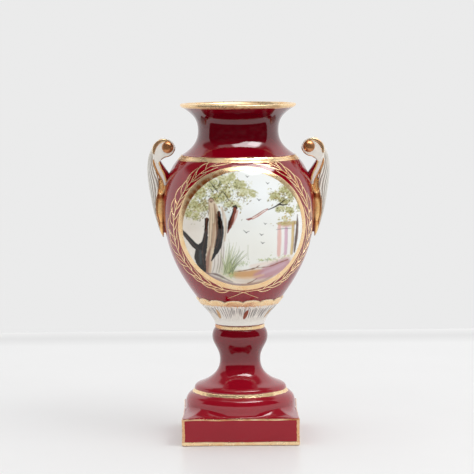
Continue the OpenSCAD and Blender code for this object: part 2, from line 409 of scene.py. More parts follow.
def thinned(outline):
    """Drops stations that come from the other side of the wall, where the outline runs straight."""
    keep = [outline[0]]
    for k in range(1, len(outline) - 1):
        a, b = outline[k] - keep[-1], outline[k + 1] - outline[k]
        turn = abs(a[0] * b[1] - a[1] * b[0]) / (np.linalg.norm(a) * np.linalg.norm(b) + 1e-9)
        if turn > 0.004:
            keep.append(outline[k])
    keep.append(outline[-1])
    return np.array(keep)


def node_mm(node):
    """The low and high corners of a CAD node, in millimetres."""
    low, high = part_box(node)
    return np.array(low) / MM, np.array(high) / MM


urn_low, urn_high = node_mm("urn_body")
ped_low, ped_high = node_mm("pedestal")
joint_z = node_mm("joint_gasket")[1][2]
floor_z = node_mm("upper_gasket")[0][2]
lip_z = urn_high[2]

# A fuller shoulder than the CAD has: the most it adds, the height of that and how far it spreads
FULLER, FULLER_Z, FULLER_SPREAD = 0.45, 112, 9

urn_out = smoothed(outline_of("urn_body", joint_z, lip_z - 0.35, FAR, -1), 0.55)
urn_out[:, 0] += FULLER * np.exp(-((urn_out[:, 1] - FULLER_Z) / FULLER_SPREAD) ** 2)
urn_in = smoothed(outline_of("urn_body", floor_z + 0.02, lip_z - 0.5, NEAR_AXIS, 1), 1.0)
ped_out = smoothed(outline_of("pedestal", ped_low[2], ped_high[2], FAR, -1), 0.45)


class Surface:
    """The outside of a turned piece: a point at a turn from the front, a height and a lift."""

    def __init__(self, outline):
        self.r, self.z = outline[:, 0], outline[:, 1]
        slope = np.gradient(self.r) / np.gradient(self.z)
        self.normal_r = 1 / np.sqrt(1 + slope ** 2)
        self.normal_z = -slope / np.sqrt(1 + slope ** 2)

    def radius(self, z):
        return np.interp(z, self.z, self.r)

    def point(self, turn, z, lift=0.0):
        r = self.radius(z) + lift * np.interp(z, self.z, self.normal_r)
        z = z + lift * np.interp(z, self.z, self.normal_z)
        return np.stack([r * np.sin(turn), -r * np.cos(turn), z + 0 * turn], -1)


urn = Surface(urn_out)
foot = Surface(ped_out)


def wobble(turn, seed, waves=(3, 5, 8, 13, 21), size=1.0):
    """A smooth closed random wave round the circle, about -1 to 1."""
    draw = np.random.default_rng(seed)
    total = 0.0
    for n in waves:
        total = total + draw.normal() * np.sin(n * turn + draw.uniform(0, 2 * np.pi)) / len(waves) ** 0.5
    return size * total


# ---------------------------------------------------------------- urn, pedestal, plinth
BORE_R = 2.5
SPIGOT_R = 6.5
TURNS = 360


def make_urn():
    """The hollow bowl with its neck and its spigot: burgundy outside, white inside."""
    lip = [(urn_out[-1, 0] - 0.12, lip_z - 0.16), (urn_out[-1, 0] - 0.4, lip_z - 0.03),
           (urn_out[-1, 0] - 0.9, lip_z), (urn_in[-1, 0] + 0.35, lip_z), (urn_in[-1, 0] + 0.1, lip_z - 0.15)]
    inner = urn_in[::-1]
    base = [(inner[-1, 0] - 0.6, floor_z), (BORE_R + 0.2, floor_z), (BORE_R, floor_z - 0.2),
            (BORE_R, urn_low[2] + 0.2), (BORE_R + 0.2, urn_low[2]), (SPIGOT_R - 0.3, urn_low[2]),
            (SPIGOT_R, urn_low[2] + 0.3), (SPIGOT_R, joint_z), (urn_out[0, 0] - 0.25, joint_z)]
    outer = urn_out.copy()
    outer[0, 1] += 0.2
    outline = np.vstack([outer, lip, inner, base])
    count = len(outer)
    indices = [0] * (count + 2) + [1] * (len(outline) - count - 2)
    return turned("urn_shell", outline, TURNS, [burgundy, white_glaze], "burgundy_glaze", ["urn_body"], indices)


def make_pedestal():
    """The hollow round pedestal with the socket for the spigot: glazed outside, unglazed inside."""
    low, high = ped_low[2], ped_high[2]
    cavity_r = ped_out[0, 0] - 5.5
    outline = list(map(tuple, ped_out))
    outline[0] = (ped_out[0, 0] + 0.1, low + 0.15)
    outline[-1] = (ped_out[-1, 0] - 0.1, high - 0.1)
    socket = SPIGOT_R + 0.3
    outline += [
        (ped_out[-1, 0] - 0.4, high), (socket + 0.2, high), (socket, high - 0.2), (socket, high - 2.0),
        (BORE_R + 0.2, high - 2.0), (BORE_R, high - 2.2), (BORE_R, low + 13.0), (6.0, low + 12.8),
        (12.0, low + 9.0), (cavity_r, low + 5.0), (cavity_r, low + 0.2), (cavity_r + 0.2, low),
        (ped_out[0, 0] - 0.2, low),
    ]
    count = len(ped_out)
    indices = [0] * (count - 1) + [1] * (len(outline) - count + 1)
    return turned("pedestal_casting", np.array(outline), TURNS, [burgundy, biscuit],
                  "burgundy_glaze", ["pedestal"], indices)


SIDE_BOW = 0.6
PER_CORNER, PER_SIDE = 7, 16


def square_loop(half, corner, z):
    """A square loop with rounded corners and slightly hollow sides, anticlockwise from the front right."""
    centre = half - corner
    side = []
    for k in range(PER_CORNER + 1):
        a = -math.pi / 2 + k / PER_CORNER * math.pi / 2
        side.append((centre + corner * math.cos(a), -centre + corner * math.sin(a)))
    for k in range(1, PER_SIDE):
        across = 2 * k / PER_SIDE - 1
        side.append((half - min(SIDE_BOW, 0.02 * half) * (1 - across * across), centre * across))
    return np.array([p for quarter in range(4) for p in quarter_turned(quarter, side, z)])


def circle(a, r, z):
    """Points at the angles a round the Z axis."""
    return np.stack([r * np.cos(a), r * np.sin(a), z + 0 * a], 1)


def quarter_turned(quarter, points, z):
    """(x, y) points turned by quarters of a circle, at height z."""
    c, s = math.cos(quarter * math.pi / 2), math.sin(quarter * math.pi / 2)
    return [(c * x - s * y, s * x + c * y, z) for x, y in points]


def lofted(loops, close=False):
    """Vertices and faces of a stack of equal loops: capped at both ends, or closed into a ring."""
    rows, columns = len(loops), len(loops[0])
    verts = np.concatenate(loops)
    faces = [tuple(f) for f in grid_faces(rows, columns, close_rows=close)]
    if not close:
        faces.append(tuple(range(columns))[::-1])
        faces.append(tuple(range((rows - 1) * columns, rows * columns)))
    return verts, faces


PLINTH_HALF, _, PLINTH_H = node_mm("plinth")[1]
RECESS_H = node_mm("lower_gasket")[1][2]
PLINTH_WALL = 4.0
# Radii of the upright corners, low and at the top, and of the rounded edge round the top
CORNER_LOW, CORNER_TOP, TOP_ROUND = 1.3, 1.4, 0.75


def sag(points, amount, seed):
    """Small unevenness of a hand-finished casting."""
    a = np.arctan2(points[:, 1], points[:, 0])
    shift = amount * wobble(a, seed, (2, 4, 6, 9))
    out = points.copy()
    r = np.hypot(points[:, 0], points[:, 1])
    out[:, 0] *= 1 + shift / r
    out[:, 1] *= 1 + shift / r
    return out


def make_plinth():
    """The hollow square plinth: glazed outside and on top, unglazed in its recess."""
    half, h = PLINTH_HALF - 0.02, PLINTH_H
    loops = []
    for z, inset in ((0.0, 0.5), (0.15, 0.2), (0.5, 0.0)):
        loops.append(square_loop(half - inset, CORNER_LOW - inset, z))
    for z in np.linspace(2.0, h - TOP_ROUND - 0.3, 6):
        loops.append(square_loop(half - 0.12 * math.sin(math.pi * (z - 1) / (h - 2)), CORNER_LOW, z))
    for k in range(6):
        a = k / 5 * math.pi / 2
        loops.append(square_loop(half - TOP_ROUND * (1 - math.cos(a)), CORNER_TOP, h - TOP_ROUND * (1 - math.sin(a))))
    outer_count = len(loops)
    for inset in (4.0, 8.0, 12.0, 16.0, 20.0, 23.0):
        loops.append(square_loop(half - inset, max(0.3, CORNER_TOP - inset * 0.05), h))
    loops.append(square_loop(BORE_R, BORE_R, h))
    loops.append(square_loop(BORE_R, BORE_R, RECESS_H))
    for inset, z in ((-0.1, RECESS_H), (-1.0, RECESS_H - 1.2), (-1.2, 2.0), (-1.0, 0.3), (-0.6, 0.0)):
        loops.append(square_loop(half - PLINTH_WALL + 0.9 + inset, 3.0, z))
    verts, faces = lofted([sag(l, 0.05, 3) for l in loops], close=True)
    per_row = len(loops[0])
    indices = []
    for row in range(len(loops)):
        indices += [0 if 1 <= row < outer_count + 6 else 1] * per_row
    return piece("plinth_casting", verts, faces, [burgundy, biscuit], "burgundy_glaze", ["plinth"], indices)


def make_skirt():
    """Glazed sweep from the round torus out to the square top of the plinth."""
    base, rise, rows = PLINTH_H, 3.4, 16
    square = square_loop(PLINTH_HALF - 0.85, 0.9, base)
    angle = np.arctan2(square[:, 1], square[:, 0])
    loops = []
    for k in range(rows):
        t = k / (rows - 1)
        z = base + 0.06 + rise * (1 - t) ** 2.3
        round_r = foot.radius(base + rise) - 0.35 - 0.3 * t
        loop = np.stack([round_r * np.cos(angle), round_r * np.sin(angle), 0 * angle], 1)
        loop = loop + t * (square - loop)
        loop[:, 2] = z
        loops.append(loop)
    low = loops[-1].copy()
    low[:, 2] = base + 0.01
    inner = loops[0] * np.array([0.85, 0.85, 1])
    inner[:, 2] = base + 0.01
    top = inner.copy()
    top[:, 2] = base + rise - 0.4
    verts, faces = lofted([sag(l, 0.05, 3) for l in loops + [low, inner, top]], close=True)
    return piece("pedestal_skirt", verts, faces, [burgundy], "burgundy_glaze", ["pedestal"])


make_urn()
make_pedestal()
make_plinth()
make_skirt()


# ---------------------------------------------------------------- gilded bands
def band(name, surface, low, high, seed, nodes, edge=0.16, lift=0.09, rows=9, slot="gilding", dark_reflection=0.0):
    """A brushed gold band round a turned piece, with wavering edges and a full middle, and where asked a painted dark
    reflection that browns its left side.
    """
    turn = np.arange(TURNS) * 2 * np.pi / TURNS
    bottom = low + wobble(turn, seed, (2, 5, 9, 16, 29, 44), edge)
    top = high + wobble(turn, seed + 1, (2, 4, 7, 15, 27, 41), edge)
    loops = []
    for k in range(rows):
        t = k / (rows - 1)
        swell = lift * min(1.0, 6 * t, 6 * (1 - t)) ** 0.5 if 0 < t < 1 else -0.04
        loops.append(surface.point(turn, bottom + (top - bottom) * t, swell))
    for t in (0.97, 0.03):
        loops.append(surface.point(turn, bottom + (top - bottom) * t, -0.15))
    verts, faces = lofted(loops, close=True)
    # Painted reflection: the brown layer darkens the left side of the band, as if it mirrored something dark.
    dark_reflection_side = np.clip(-1.9 * np.sin(np.tile(turn, len(loops))) - 0.9, 0, 1)
    return piece(name, verts, faces, [gold], slot, nodes, brown=dark_reflection * dark_reflection_side)


def make_rim_gilding():
    """Gold that wraps over the lip from the outside to the inside."""
    turn = np.arange(TURNS) * 2 * np.pi / TURNS
    low = lip_z - 1.85 + wobble(turn, 11, (2, 5, 9, 14), 0.12)
    high = lip_z - 0.4
    loops = [urn.point(turn, low + (high - low) * k / 8, 0.10 if k else -0.05) for k in range(9)]
    edge, hole = urn_out[-1, 0], urn_in[-1, 0]
    circles = [(edge + 0.06, lip_z - 0.12), (edge - 0.1, lip_z + 0.05), (edge - 0.5, lip_z + 0.13),
               (hole + 0.3, lip_z + 0.12), (hole - 0.05, lip_z - 0.15)]
    inner = [tuple(p) for p in urn_in[::-1] if p[1] > lip_z - 1.9]
    circles += [(r - 0.1, z) for r, z in inner]
    circles += [(r + 0.3, z) for r, z in inner[::-1][:-1]]
    circles += [(edge - 1.0, lip_z - 0.3)]
    for r, z in circles:
        loops.append(np.stack([r * np.sin(turn), -r * np.cos(turn), z + 0 * turn], 1))
    loops += [urn.point(turn, high + 0 * turn, -0.25), urn.point(turn, low + 0.2, -0.2)]
    verts, faces = lofted(loops, close=True)
    return piece("rim_gold", verts, faces, [gold], "gilding", ["rim_gilding"])


def box_heights(node):
    """The lowest and highest z of a CAD node, in millimetres."""
    low, high = node_mm(node)
    return low[2], high[2]


make_rim_gilding()
band("shoulder_gold", urn, *box_heights("shoulder_gilding"), 21, ["shoulder_gilding"], 0.16, 0.10)
# The waist band carries a painted dark reflection on its left side.
band("waist_gold", urn, joint_z - 0.35, box_heights("waist_gilding")[1] - 0.25, 31, ["waist_gilding"], 0.05, 0.10,
     dark_reflection=0.75)
band("foot_gold", foot, *box_heights("foot_gilding"), 41, ["foot_gilding"], 0.10, 0.08)


# ---------------------------------------------------------------- medallion frame
MEDALLION_TURN = math.radians(4.2)
med_low, med_high = node_mm("medallion")
MED_Z = (med_low[2] + med_high[2]) / 2 - 0.45
MED_RZ = (med_high[2] - med_low[2]) / 2
MED_RX = MED_RZ + 0.9


def on_body(x, z, lift=0.0):
    """A point on the bowl whose front projection is x across and z up, lifted off the glaze."""
    z = np.asarray(z, float)
    side = np.clip(np.asarray(x, float) / urn.radius(z), -0.985, 0.985)
    return urn.point(MEDALLION_TURN + np.arcsin(side), z, lift)


# How far a gold brush stroke stands off the glaze and reaches into it
STROKE_LIFT, STROKE_SINK = 0.10, 0.12


def ribbon(path, normals, widths):
    """A closed raised brush stroke along a path of points on a surface."""
    tangent = np.gradient(path, axis=0)
    tangent /= np.linalg.norm(tangent, axis=1)[:, None] + 1e-12
    across = np.cross(tangent, normals)
    across /= np.linalg.norm(across, axis=1)[:, None] + 1e-12
    section = ((-1, -0.5), (-0.78, 0.85), (0, 1), (0.78, 0.85), (1, -0.5), (0, -STROKE_SINK / STROKE_LIFT))
    loops = []
    for k in range(len(path)):
        half = widths[k] / 2
        rise = STROKE_LIFT * min(1.0, widths[k] / 0.4)
        loops.append(np.array([
            path[k] + across[k] * (a * half) + normals[k] * (b * rise if b > 0 else b * STROKE_LIFT)
            for a, b in section
        ]))
    return lofted(loops)


def joined(parts):
    """Several sets of vertices and faces as one."""
    verts, faces, start = [], [], 0
    for v, f in parts:
        verts.append(v)
        faces += [tuple(i + start for i in face) for face in f]
        start += len(v)
    return np.vstack(verts), faces


def stroke_on_body(points, width):
    """A brush stroke through (x, z) points of the front projection, thinner at its ends."""
    line = smoothed(points, 0.5, 180)
    if len(line) > 28:
        line = smoothed(points, 0.9, 180)
    t = np.linspace(0, 1, len(line))
    swell = np.interp(t, [0, 0.25, 0.7, 1], [0.35, 1, 0.9, 0.3])
    path = on_body(line[:, 0], line[:, 1])
    normals = on_body(line[:, 0], line[:, 1], 1.0) - path
    return ribbon(path, normals, width * swell)


# ---------------------------------------------------------------- medallion painting
class Canvas:
    """A painted square round the medallion: u runs right and v up, both 1 at the rim."""

    def __init__(self, size, seed):
        axis = np.linspace(-1.03, 1.03, size)
        self.u, self.v = np.meshgrid(axis, axis)
        self.size = size
        self.draw = np.random.default_rng(seed)
        self.colour = np.zeros((size, size, 3))
        self.fine = self.noise(90)
        self.middle = self.noise(48)
        self.coarse = self.noise(26)

    def noise(self, cells):
        """A smooth random field from 0 to 1."""
        grid = self.draw.random((cells + 3, cells + 3))
        x, y = (self.u + 1.05) / 2.1 * cells, (self.v + 1.05) / 2.1 * cells
        i, j = x.astype(int), y.astype(int)
        fx, fy = x - i, y - j
        fx, fy = fx * fx * (3 - 2 * fx), fy * fy * (3 - 2 * fy)
        top = grid[j, i] * (1 - fx) + grid[j, i + 1] * fx
        low = grid[j + 1, i] * (1 - fx) + grid[j + 1, i + 1] * fx
        return top * (1 - fy) + low * fy

    def window(self, u0, u1, v0, v1):
        """The slices of the canvas that cover a rectangle."""
        def index(value):
            return int(round((value + 1.03) / 2.06 * (self.size - 1)))
        return (slice(max(0, index(v0)), max(0, index(v1) + 1)),
                slice(max(0, index(u0)), max(0, index(u1) + 1)))

    def lay(self, area, cover, colour):
        """Blends a screen colour over part of the canvas."""
        part = self.colour[area]
        part += np.clip(cover, 0, 1)[..., None] * (lin(*colour) - part)

    def wash(self, colour, u, v, a, b, strength):
        """A soft oval of colour."""
        self.lay(np.s_[:, :], strength * np.exp(-(((self.u - u) / a) ** 2 + ((self.v - v) / b) ** 2)), colour)

    def stroke(self, colour, points, strength=1.0, soft=0.012, rough=0.0):
        """A brush stroke through (u, v, half width) points."""
        line = smoothed(points, 0.05, 180)
        reach = line[:, 2].max() + soft + rough + 0.01
        area = self.window(line[:, 0].min() - reach, line[:, 0].max() + reach,
                           line[:, 1].min() - reach, line[:, 1].max() + reach)
        u, v = self.u[area], self.v[area]
        cover = np.full(u.shape, -9.0)
        for p, q in zip(line[:-1], line[1:]):
            step = q[:2] - p[:2]
            t = np.clip(((u - p[0]) * step[0] + (v - p[1]) * step[1]) / (step @ step + 1e-9), 0, 1)
            gap = np.hypot(u - p[0] - t * step[0], v - p[1] - t * step[1])
            cover = np.maximum(cover, p[2] + t * (q[2] - p[2]) - gap)
        cover += rough * (self.middle[area] - 0.5)
        self.lay(area, strength * np.clip(cover / soft + 0.5, 0, 1), colour)

    def dabs(self, colours, u, v, a, b, count, size=0.022, strength=0.6):
        """Small leaf-shaped touches scattered round a place."""
        for _ in range(count):
            du, dv = self.draw.normal(size=2) * 0.55
            colour = colours[self.draw.integers(len(colours))]
            length = size * self.draw.uniform(0.5, 1.3)
            turn = self.draw.uniform(0, math.pi)
            cu, cv = u + du * a, v + dv * b
            area = self.window(cu - length, cu + length, cv - length, cv + length)
            x, y = self.u[area] - cu, self.v[area] - cv
            along = x * math.cos(turn) + y * math.sin(turn)
            across = -x * math.sin(turn) + y * math.cos(turn)
            d = (along / length) ** 2 + (across / (0.5 * length)) ** 2
            self.lay(area, strength * self.draw.uniform(0.5, 1) * np.clip(1.6 - 1.6 * d, 0, 1), colour)

    def foliage(self, clumps, light, middle, dark):
        """Sponged leaf masses that break up at their edges, with touches on top."""
        mass = np.zeros_like(self.u)
        for u, v, a, b in clumps:
            mass = np.maximum(mass, np.exp(-(((self.u - u) / a) ** 2 + ((self.v - v) / b) ** 2)))
        broken = 0.55 * self.coarse + 0.45 * self.fine
        cover = np.clip((mass + 1.1 * (broken - 0.5) - 0.43) / 0.24, 0, 1)
        self.lay(np.s_[:, :], 0.75 * cover, light)
        shade = np.clip((mass + 1.3 * (self.coarse - 0.5) - 0.62) / 0.25, 0, 1)
        self.lay(np.s_[:, :], 0.6 * shade * np.clip(self.fine * 2 - 0.4, 0, 1), middle)
        for u, v, a, b in clumps:
            self.dabs([light, middle], u, v, a * 1.15, b * 1.15, 26)
            self.dabs([middle, dark], u + 0.01, v - 0.25 * b, a * 0.9, b * 0.8, 22, 0.02, 0.62)


def paint_landscape():
    """A tree on the left, a ruin on the right and pale ground, in screen colours."""
    canvas = Canvas(700, 5)
    stroke, dabs, wash = canvas.stroke, canvas.dabs, canvas.wash
    canvas.colour[:] = lin(238, 240, 235)
    wash((224, 214, 202), -0.85, -0.05, 0.45, 0.7, 0.85)
    wash((237, 237, 230), 0.1, -0.35, 0.7, 0.4, 0.7)
    wash((244, 248, 249), 0.25, 0.62, 0.8, 0.5, 0.9)
    wash((246, 247, 246), 0.95, 0.1, 0.3, 0.8, 0.7)
    wash((216, 230, 230), -0.25, 0.30, 0.12, 0.22, 0.5)
    wash((226, 236, 236), -0.75, 0.62, 0.25, 0.3, 0.5)

    # Leaves of the big tree
    light, middle, dark = (200, 198, 142), (158, 156, 96), (102, 106, 60)
    canvas.foliage([(-0.70, 0.64, 0.18, 0.15), (-0.48, 0.76, 0.19, 0.13), (-0.25, 0.86, 0.22, 0.11),
                    (-0.29, 0.62, 0.19, 0.14), (-0.20, 0.46, 0.17, 0.09), (0.03, 0.62, 0.17, 0.11),
                    (-0.80, 0.42, 0.14, 0.13), (-0.64, 0.40, 0.13, 0.13), (-0.89, 0.28, 0.08, 0.12),
                    (-0.77, 0.22, 0.09, 0.09), (-0.42, 0.56, 0.16, 0.12), (-0.08, 0.76, 0.16, 0.10),], light,
                   middle, dark)
    brown_green = [(128, 110, 64), (112, 106, 58), (160, 140, 86)]
    dabs(brown_green, -0.30, 0.56, 0.36, 0.24, 150, 0.026, 0.8)
    dabs(brown_green, -0.74, 0.36, 0.20, 0.20, 80, 0.024, 0.8)
    dabs([(84, 98, 76), (70, 84, 58)], -0.42, 0.70, 0.32, 0.16, 80, 0.022, 0.8)
    dabs([(222, 222, 196), (228, 230, 214)], -0.36, 0.62, 0.40, 0.26, 70, 0.022, 0.7)
    stroke((56, 54, 36), [(-0.52, 0.80, 0.006), (-0.45, 0.71, 0.011), (-0.40, 0.64, 0.006)], 0.85)
    stroke((56, 54, 36), [(-0.32, 0.66, 0.006), (-0.27, 0.58, 0.010), (-0.23, 0.51, 0.006)], 0.85)
    stroke((90, 84, 50), [(-0.66, 0.44, 0.005), (-0.60, 0.36, 0.01), (-0.56, 0.27, 0.008)], 0.7)

    # Pale second trunk and the foot of the tree
    stroke((222, 206, 186), [(-0.345, 0.38, 0.02), (-0.30, 0.22, 0.026), (-0.285, 0.02, 0.022),
                             (-0.30, -0.18, 0.02)], 0.9, 0.02)
    stroke((222, 216, 208), [(-0.36, -0.20, 0.05), (-0.39, -0.46, 0.085), (-0.42, -0.76, 0.14)], 0.95, 0.03)
    for u, v, reach in ((-0.33, 0.38, 0.42), (-0.275, 0.20, 0.4), (-0.31, -0.1, 0.6), (-0.35, -0.25, 0.5),
                        (-0.40, -0.44, 0.32), (-0.46, -0.50, 0.25), (-0.36, -0.45, 0.3)):
        stroke((150, 136, 124), [(u, v, 0.004), (u, v - reach / 2, 0.008), (u - 0.03, v - reach, 0.005)], 0.7,
               0.012, 0.004)

    # Trunk: cream middle between two dark sides
    stroke((214, 196, 170), [(-0.52, 0.50, 0.045), (-0.475, 0.32, 0.085), (-0.475, 0.08, 0.085),
                             (-0.50, -0.2, 0.075), (-0.54, -0.42, 0.06), (-0.57, -0.76, 0.06)], 1.0, 0.02,
           0.006)
    stroke((122, 84, 62), [(-0.465, 0.44, 0.008), (-0.45, 0.28, 0.014), (-0.46, 0.10, 0.008)], 0.85, 0.02)
    stroke((176, 142, 116), [(-0.47, 0.1, 0.02), (-0.48, -0.1, 0.03), (-0.51, -0.3, 0.02)], 0.8, 0.03, 0.01)
    stroke((146, 100, 84), [(-0.53, -0.30, 0.012), (-0.575, -0.52, 0.034), (-0.585, -0.76, 0.036)], 0.85, 0.03,
           0.01)
    stroke((196, 160, 134), [(-0.52, -0.46, 0.008), (-0.53, -0.74, 0.012)], 0.7, 0.02)
    for u, v, reach in ((-0.54, 0.42, 0.4), (-0.50, 0.38, 0.6), (-0.555, 0.2, 0.5), (-0.43, 0.36, 0.16),
                        (-0.52, 0.0, 0.35), (-0.545, -0.20, 0.35)):
        stroke((124, 100, 80), [(u, v, 0.003), (u + 0.005, v - reach / 2, 0.006), (u - 0.01, v - reach, 0.003)],
               0.65, 0.01, 0.004)
    dark_bark = (24, 21, 21)
    stroke((104, 62, 46), [(-0.425, 0.27, 0.010), (-0.425, 0.10, 0.016), (-0.425, -0.10, 0.016),
                           (-0.46, -0.30, 0.012)], 0.9, 0.014)
    stroke(dark_bark, [(-0.39, 0.30, 0.026), (-0.375, 0.15, 0.040), (-0.362, 0.0, 0.050),
                       (-0.375, -0.15, 0.054), (-0.41, -0.30, 0.050), (-0.46, -0.43, 0.030),
                       (-0.51, -0.54, 0.010)], 1.0, 0.012, 0.012)
    stroke((104, 62, 52), [(-0.385, 0.31, 0.014), (-0.38, 0.24, 0.010)], 0.8, 0.014)
    stroke(dark_bark, [(-0.59, 0.175, 0.033), (-0.60, 0.06, 0.028), (-0.607, -0.08, 0.034),
                       (-0.625, -0.22, 0.05), (-0.68, -0.35, 0.090), (-0.70, -0.50, 0.095),
                       (-0.66, -0.65, 0.065), (-0.61, -0.75, 0.02)], 1.0, 0.012, 0.01)
    stroke((92, 62, 50), [(-0.59, 0.19, 0.018), (-0.60, 0.08, 0.010), (-0.575, -0.08, 0.006)], 0.9, 0.012)
    stroke(dark_bark, [(-0.69, -0.35, 0.065), (-0.80, -0.275, 0.048), (-0.90, -0.165, 0.038),
                       (-1.0, -0.05, 0.024)], 1.0, 0.012, 0.012)
    for bark in ([(-0.36, 0.16), (-0.345, 0.0), (-0.37, -0.2)], [(-0.40, 0.05), (-0.39, -0.15), (-0.43, -0.32)],
                 [(-0.61, 0.0), (-0.63, -0.2), (-0.68, -0.42)], [(-0.72, -0.36), (-0.84, -0.25),
                                                                 (-0.95, -0.11)], [(-0.66, -0.36),
                                                                                   (-0.65, -0.54),
                                                                                   (-0.62, -0.68)]):
        stroke((88, 66, 58), [(u, v, 0.005) for u, v in bark], 0.75, 0.014, 0.008)
    stroke((92, 98, 104), [(-0.335, 0.10, 0.004), (-0.32, -0.05, 0.006), (-0.345, -0.2, 0.004)], 0.6, 0.012)
    stroke((70, 80, 82), [(-0.70, -0.38, 0.02), (-0.69, -0.60, 0.02)], 0.5, 0.03, 0.01)
    wash((150, 100, 90), -0.52, 0.50, 0.035, 0.03, 0.7)
    stroke((84, 56, 54), [(-0.56, 0.50, 0.006), (-0.53, 0.54, 0.008), (-0.49, 0.53, 0.008),
                          (-0.465, 0.49, 0.005)], 0.9)
    stroke((84, 56, 54), [(-0.535, 0.485, 0.006), (-0.515, 0.47, 0.009), (-0.495, 0.49, 0.005)], 0.85)
    stroke((110, 84, 66), [(-0.565, 0.48, 0.004), (-0.55, 0.36, 0.006), (-0.57, 0.24, 0.004)], 0.8, 0.01)

    # Broken branch and the long red branch with its twigs
    stroke((214, 164, 150), [(-0.085, 0.33, 0.014), (-0.115, 0.22, 0.016), (-0.165, 0.10, 0.012)], 0.8, 0.015)
    stroke((128, 70, 58), [(-0.125, 0.37, 0.034), (-0.15, 0.26, 0.026), (-0.195, 0.14, 0.042),
                           (-0.215, 0.06, 0.030), (-0.25, -0.05, 0.006)], 1.0, 0.012, 0.012)
    stroke((44, 34, 34), [(-0.15, 0.40, 0.018), (-0.115, 0.41, 0.020), (-0.095, 0.37, 0.012)], 0.9, 0.012)
    stroke((52, 36, 34), [(-0.155, 0.33, 0.010), (-0.215, 0.14, 0.016), (-0.235, 0.03, 0.012)], 0.9, 0.012,
           0.006)
    wash((70, 40, 36), -0.20, 0.12, 0.03, 0.04, 0.6)
    stroke((152, 82, 74), [(0.06, 0.185, 0.008), (0.095, 0.18, 0.020), (0.16, 0.20, 0.014)], 0.95, 0.012, 0.004)
    stroke((236, 222, 214), [(0.17, 0.205, 0.016), (0.25, 0.25, 0.020), (0.34, 0.31, 0.016)], 0.9, 0.012)
    for shift, tone in ((0.018, (160, 110, 100)), (-0.018, (186, 122, 108))):
        stroke(tone, [(0.16, 0.20 + shift, 0.005), (0.25, 0.25 + shift, 0.008), (0.34, 0.31 + shift, 0.006),
                      (0.41, 0.345 + 0.4 * shift, 0.006)], 0.9, 0.01, 0.004)
    canvas.foliage([(0.69, 0.68, 0.11, 0.13), (0.54, 0.56, 0.12, 0.11), (0.79, 0.56, 0.12, 0.10),
                    (0.62, 0.34, 0.10, 0.07), (0.93, 0.38, 0.05, 0.12), (0.70, 0.47, 0.14, 0.07),
                    (0.77, 0.30, 0.08, 0.07)], light, middle, dark)
    dabs(brown_green, 0.68, 0.52, 0.22, 0.18, 110, 0.022, 0.8)
    twig = (44, 40, 36)
    stroke(twig, [(0.42, 0.335, 0.007), (0.52, 0.375, 0.010), (0.60, 0.42, 0.011), (0.68, 0.475, 0.006),
                  (0.75, 0.515, 0.004)], 1.0, 0.01)
    stroke(twig, [(0.60, 0.42, 0.013), (0.66, 0.40, 0.012), (0.74, 0.41, 0.006)], 1.0, 0.01)
    stroke(twig, [(0.66, 0.47, 0.004), (0.69, 0.53, 0.004)], 0.8, 0.01)

    # Ruin
    stroke((238, 236, 234), [(0.70, 0.0, 0.12), (0.70, -0.44, 0.12)], 0.75, 0.05)
    stroke((190, 170, 112), [(0.60, 0.085, 0.034), (0.72, 0.075, 0.036), (0.87, 0.085, 0.032)], 0.85, 0.014,
           0.012)
    stroke((216, 176, 166), [(0.66, 0.03, 0.014), (0.84, 0.04, 0.016)], 0.7, 0.02, 0.006)
    stroke((226, 180, 170), [(0.605, 0.05, 0.026), (0.608, -0.2, 0.030), (0.60, -0.47, 0.026)], 0.85, 0.02,
           0.006)
    stroke((208, 164, 186), [(0.715, 0.0, 0.022), (0.715, -0.25, 0.024), (0.708, -0.46, 0.022)], 0.85, 0.02,
           0.006)
    stroke((206, 178, 110), [(0.83, 0.06, 0.020), (0.828, -0.2, 0.024), (0.815, -0.47, 0.022)], 0.85, 0.014,
           0.006)
    stroke((150, 96, 70), [(0.855, 0.10, 0.006), (0.85, -0.2, 0.006), (0.835, -0.47, 0.005)], 0.8, 0.01, 0.004)
    stroke((170, 110, 140), [(0.738, 0.0, 0.004), (0.738, -0.25, 0.004), (0.732, -0.45, 0.004)], 0.7, 0.01)
    stroke((200, 130, 120), [(0.575, 0.02, 0.004), (0.575, -0.45, 0.004)], 0.6, 0.01)
    stroke((120, 118, 120), [(0.55, -0.015, 0.005), (0.66, -0.005, 0.007), (0.80, -0.01, 0.005)], 0.7, 0.01,
           0.004)
    dabs([(150, 110, 70), (176, 150, 80)], 0.70, 0.10, 0.18, 0.03, 30, 0.016, 0.5)
    dabs([middle, light, (200, 170, 90)], 0.71, 0.17, 0.09, 0.07, 46, 0.024, 0.7)
    stroke((84, 56, 46), [(0.905, 0.22, 0.006), (0.905, 0.05, 0.018), (0.89, -0.2, 0.024),
                          (0.865, -0.44, 0.012)], 0.95, 0.012, 0.006)
    stroke((150, 112, 84), [(0.925, 0.1, 0.006), (0.915, -0.2, 0.008)], 0.6, 0.014)

    # Birds
    for u, v, w in ((0.09, 0.90, 0.03), (0.42, 0.78, 0.03), (0.27, 0.51, 0.035), (0.37, 0.10, 0.026),
                    (0.06, -0.03, 0.05), (0.31, -0.085, 0.034), (0.33, -0.23, 0.032)):
        tone = (70, 74, 76) if w > 0.03 else (120, 124, 124)
        stroke(tone, [(u - w, v + 0.6 * w, 0.003), (u - 0.3 * w, v - 0.1 * w, 0.007), (u, v - 0.35 * w, 0.009)],
               0.85, 0.01)
        stroke(tone, [(u, v - 0.35 * w, 0.007), (u + 0.5 * w, v + 0.05 * w, 0.006),
                      (u + w, v + 0.15 * w, 0.003)], 0.75, 0.01)

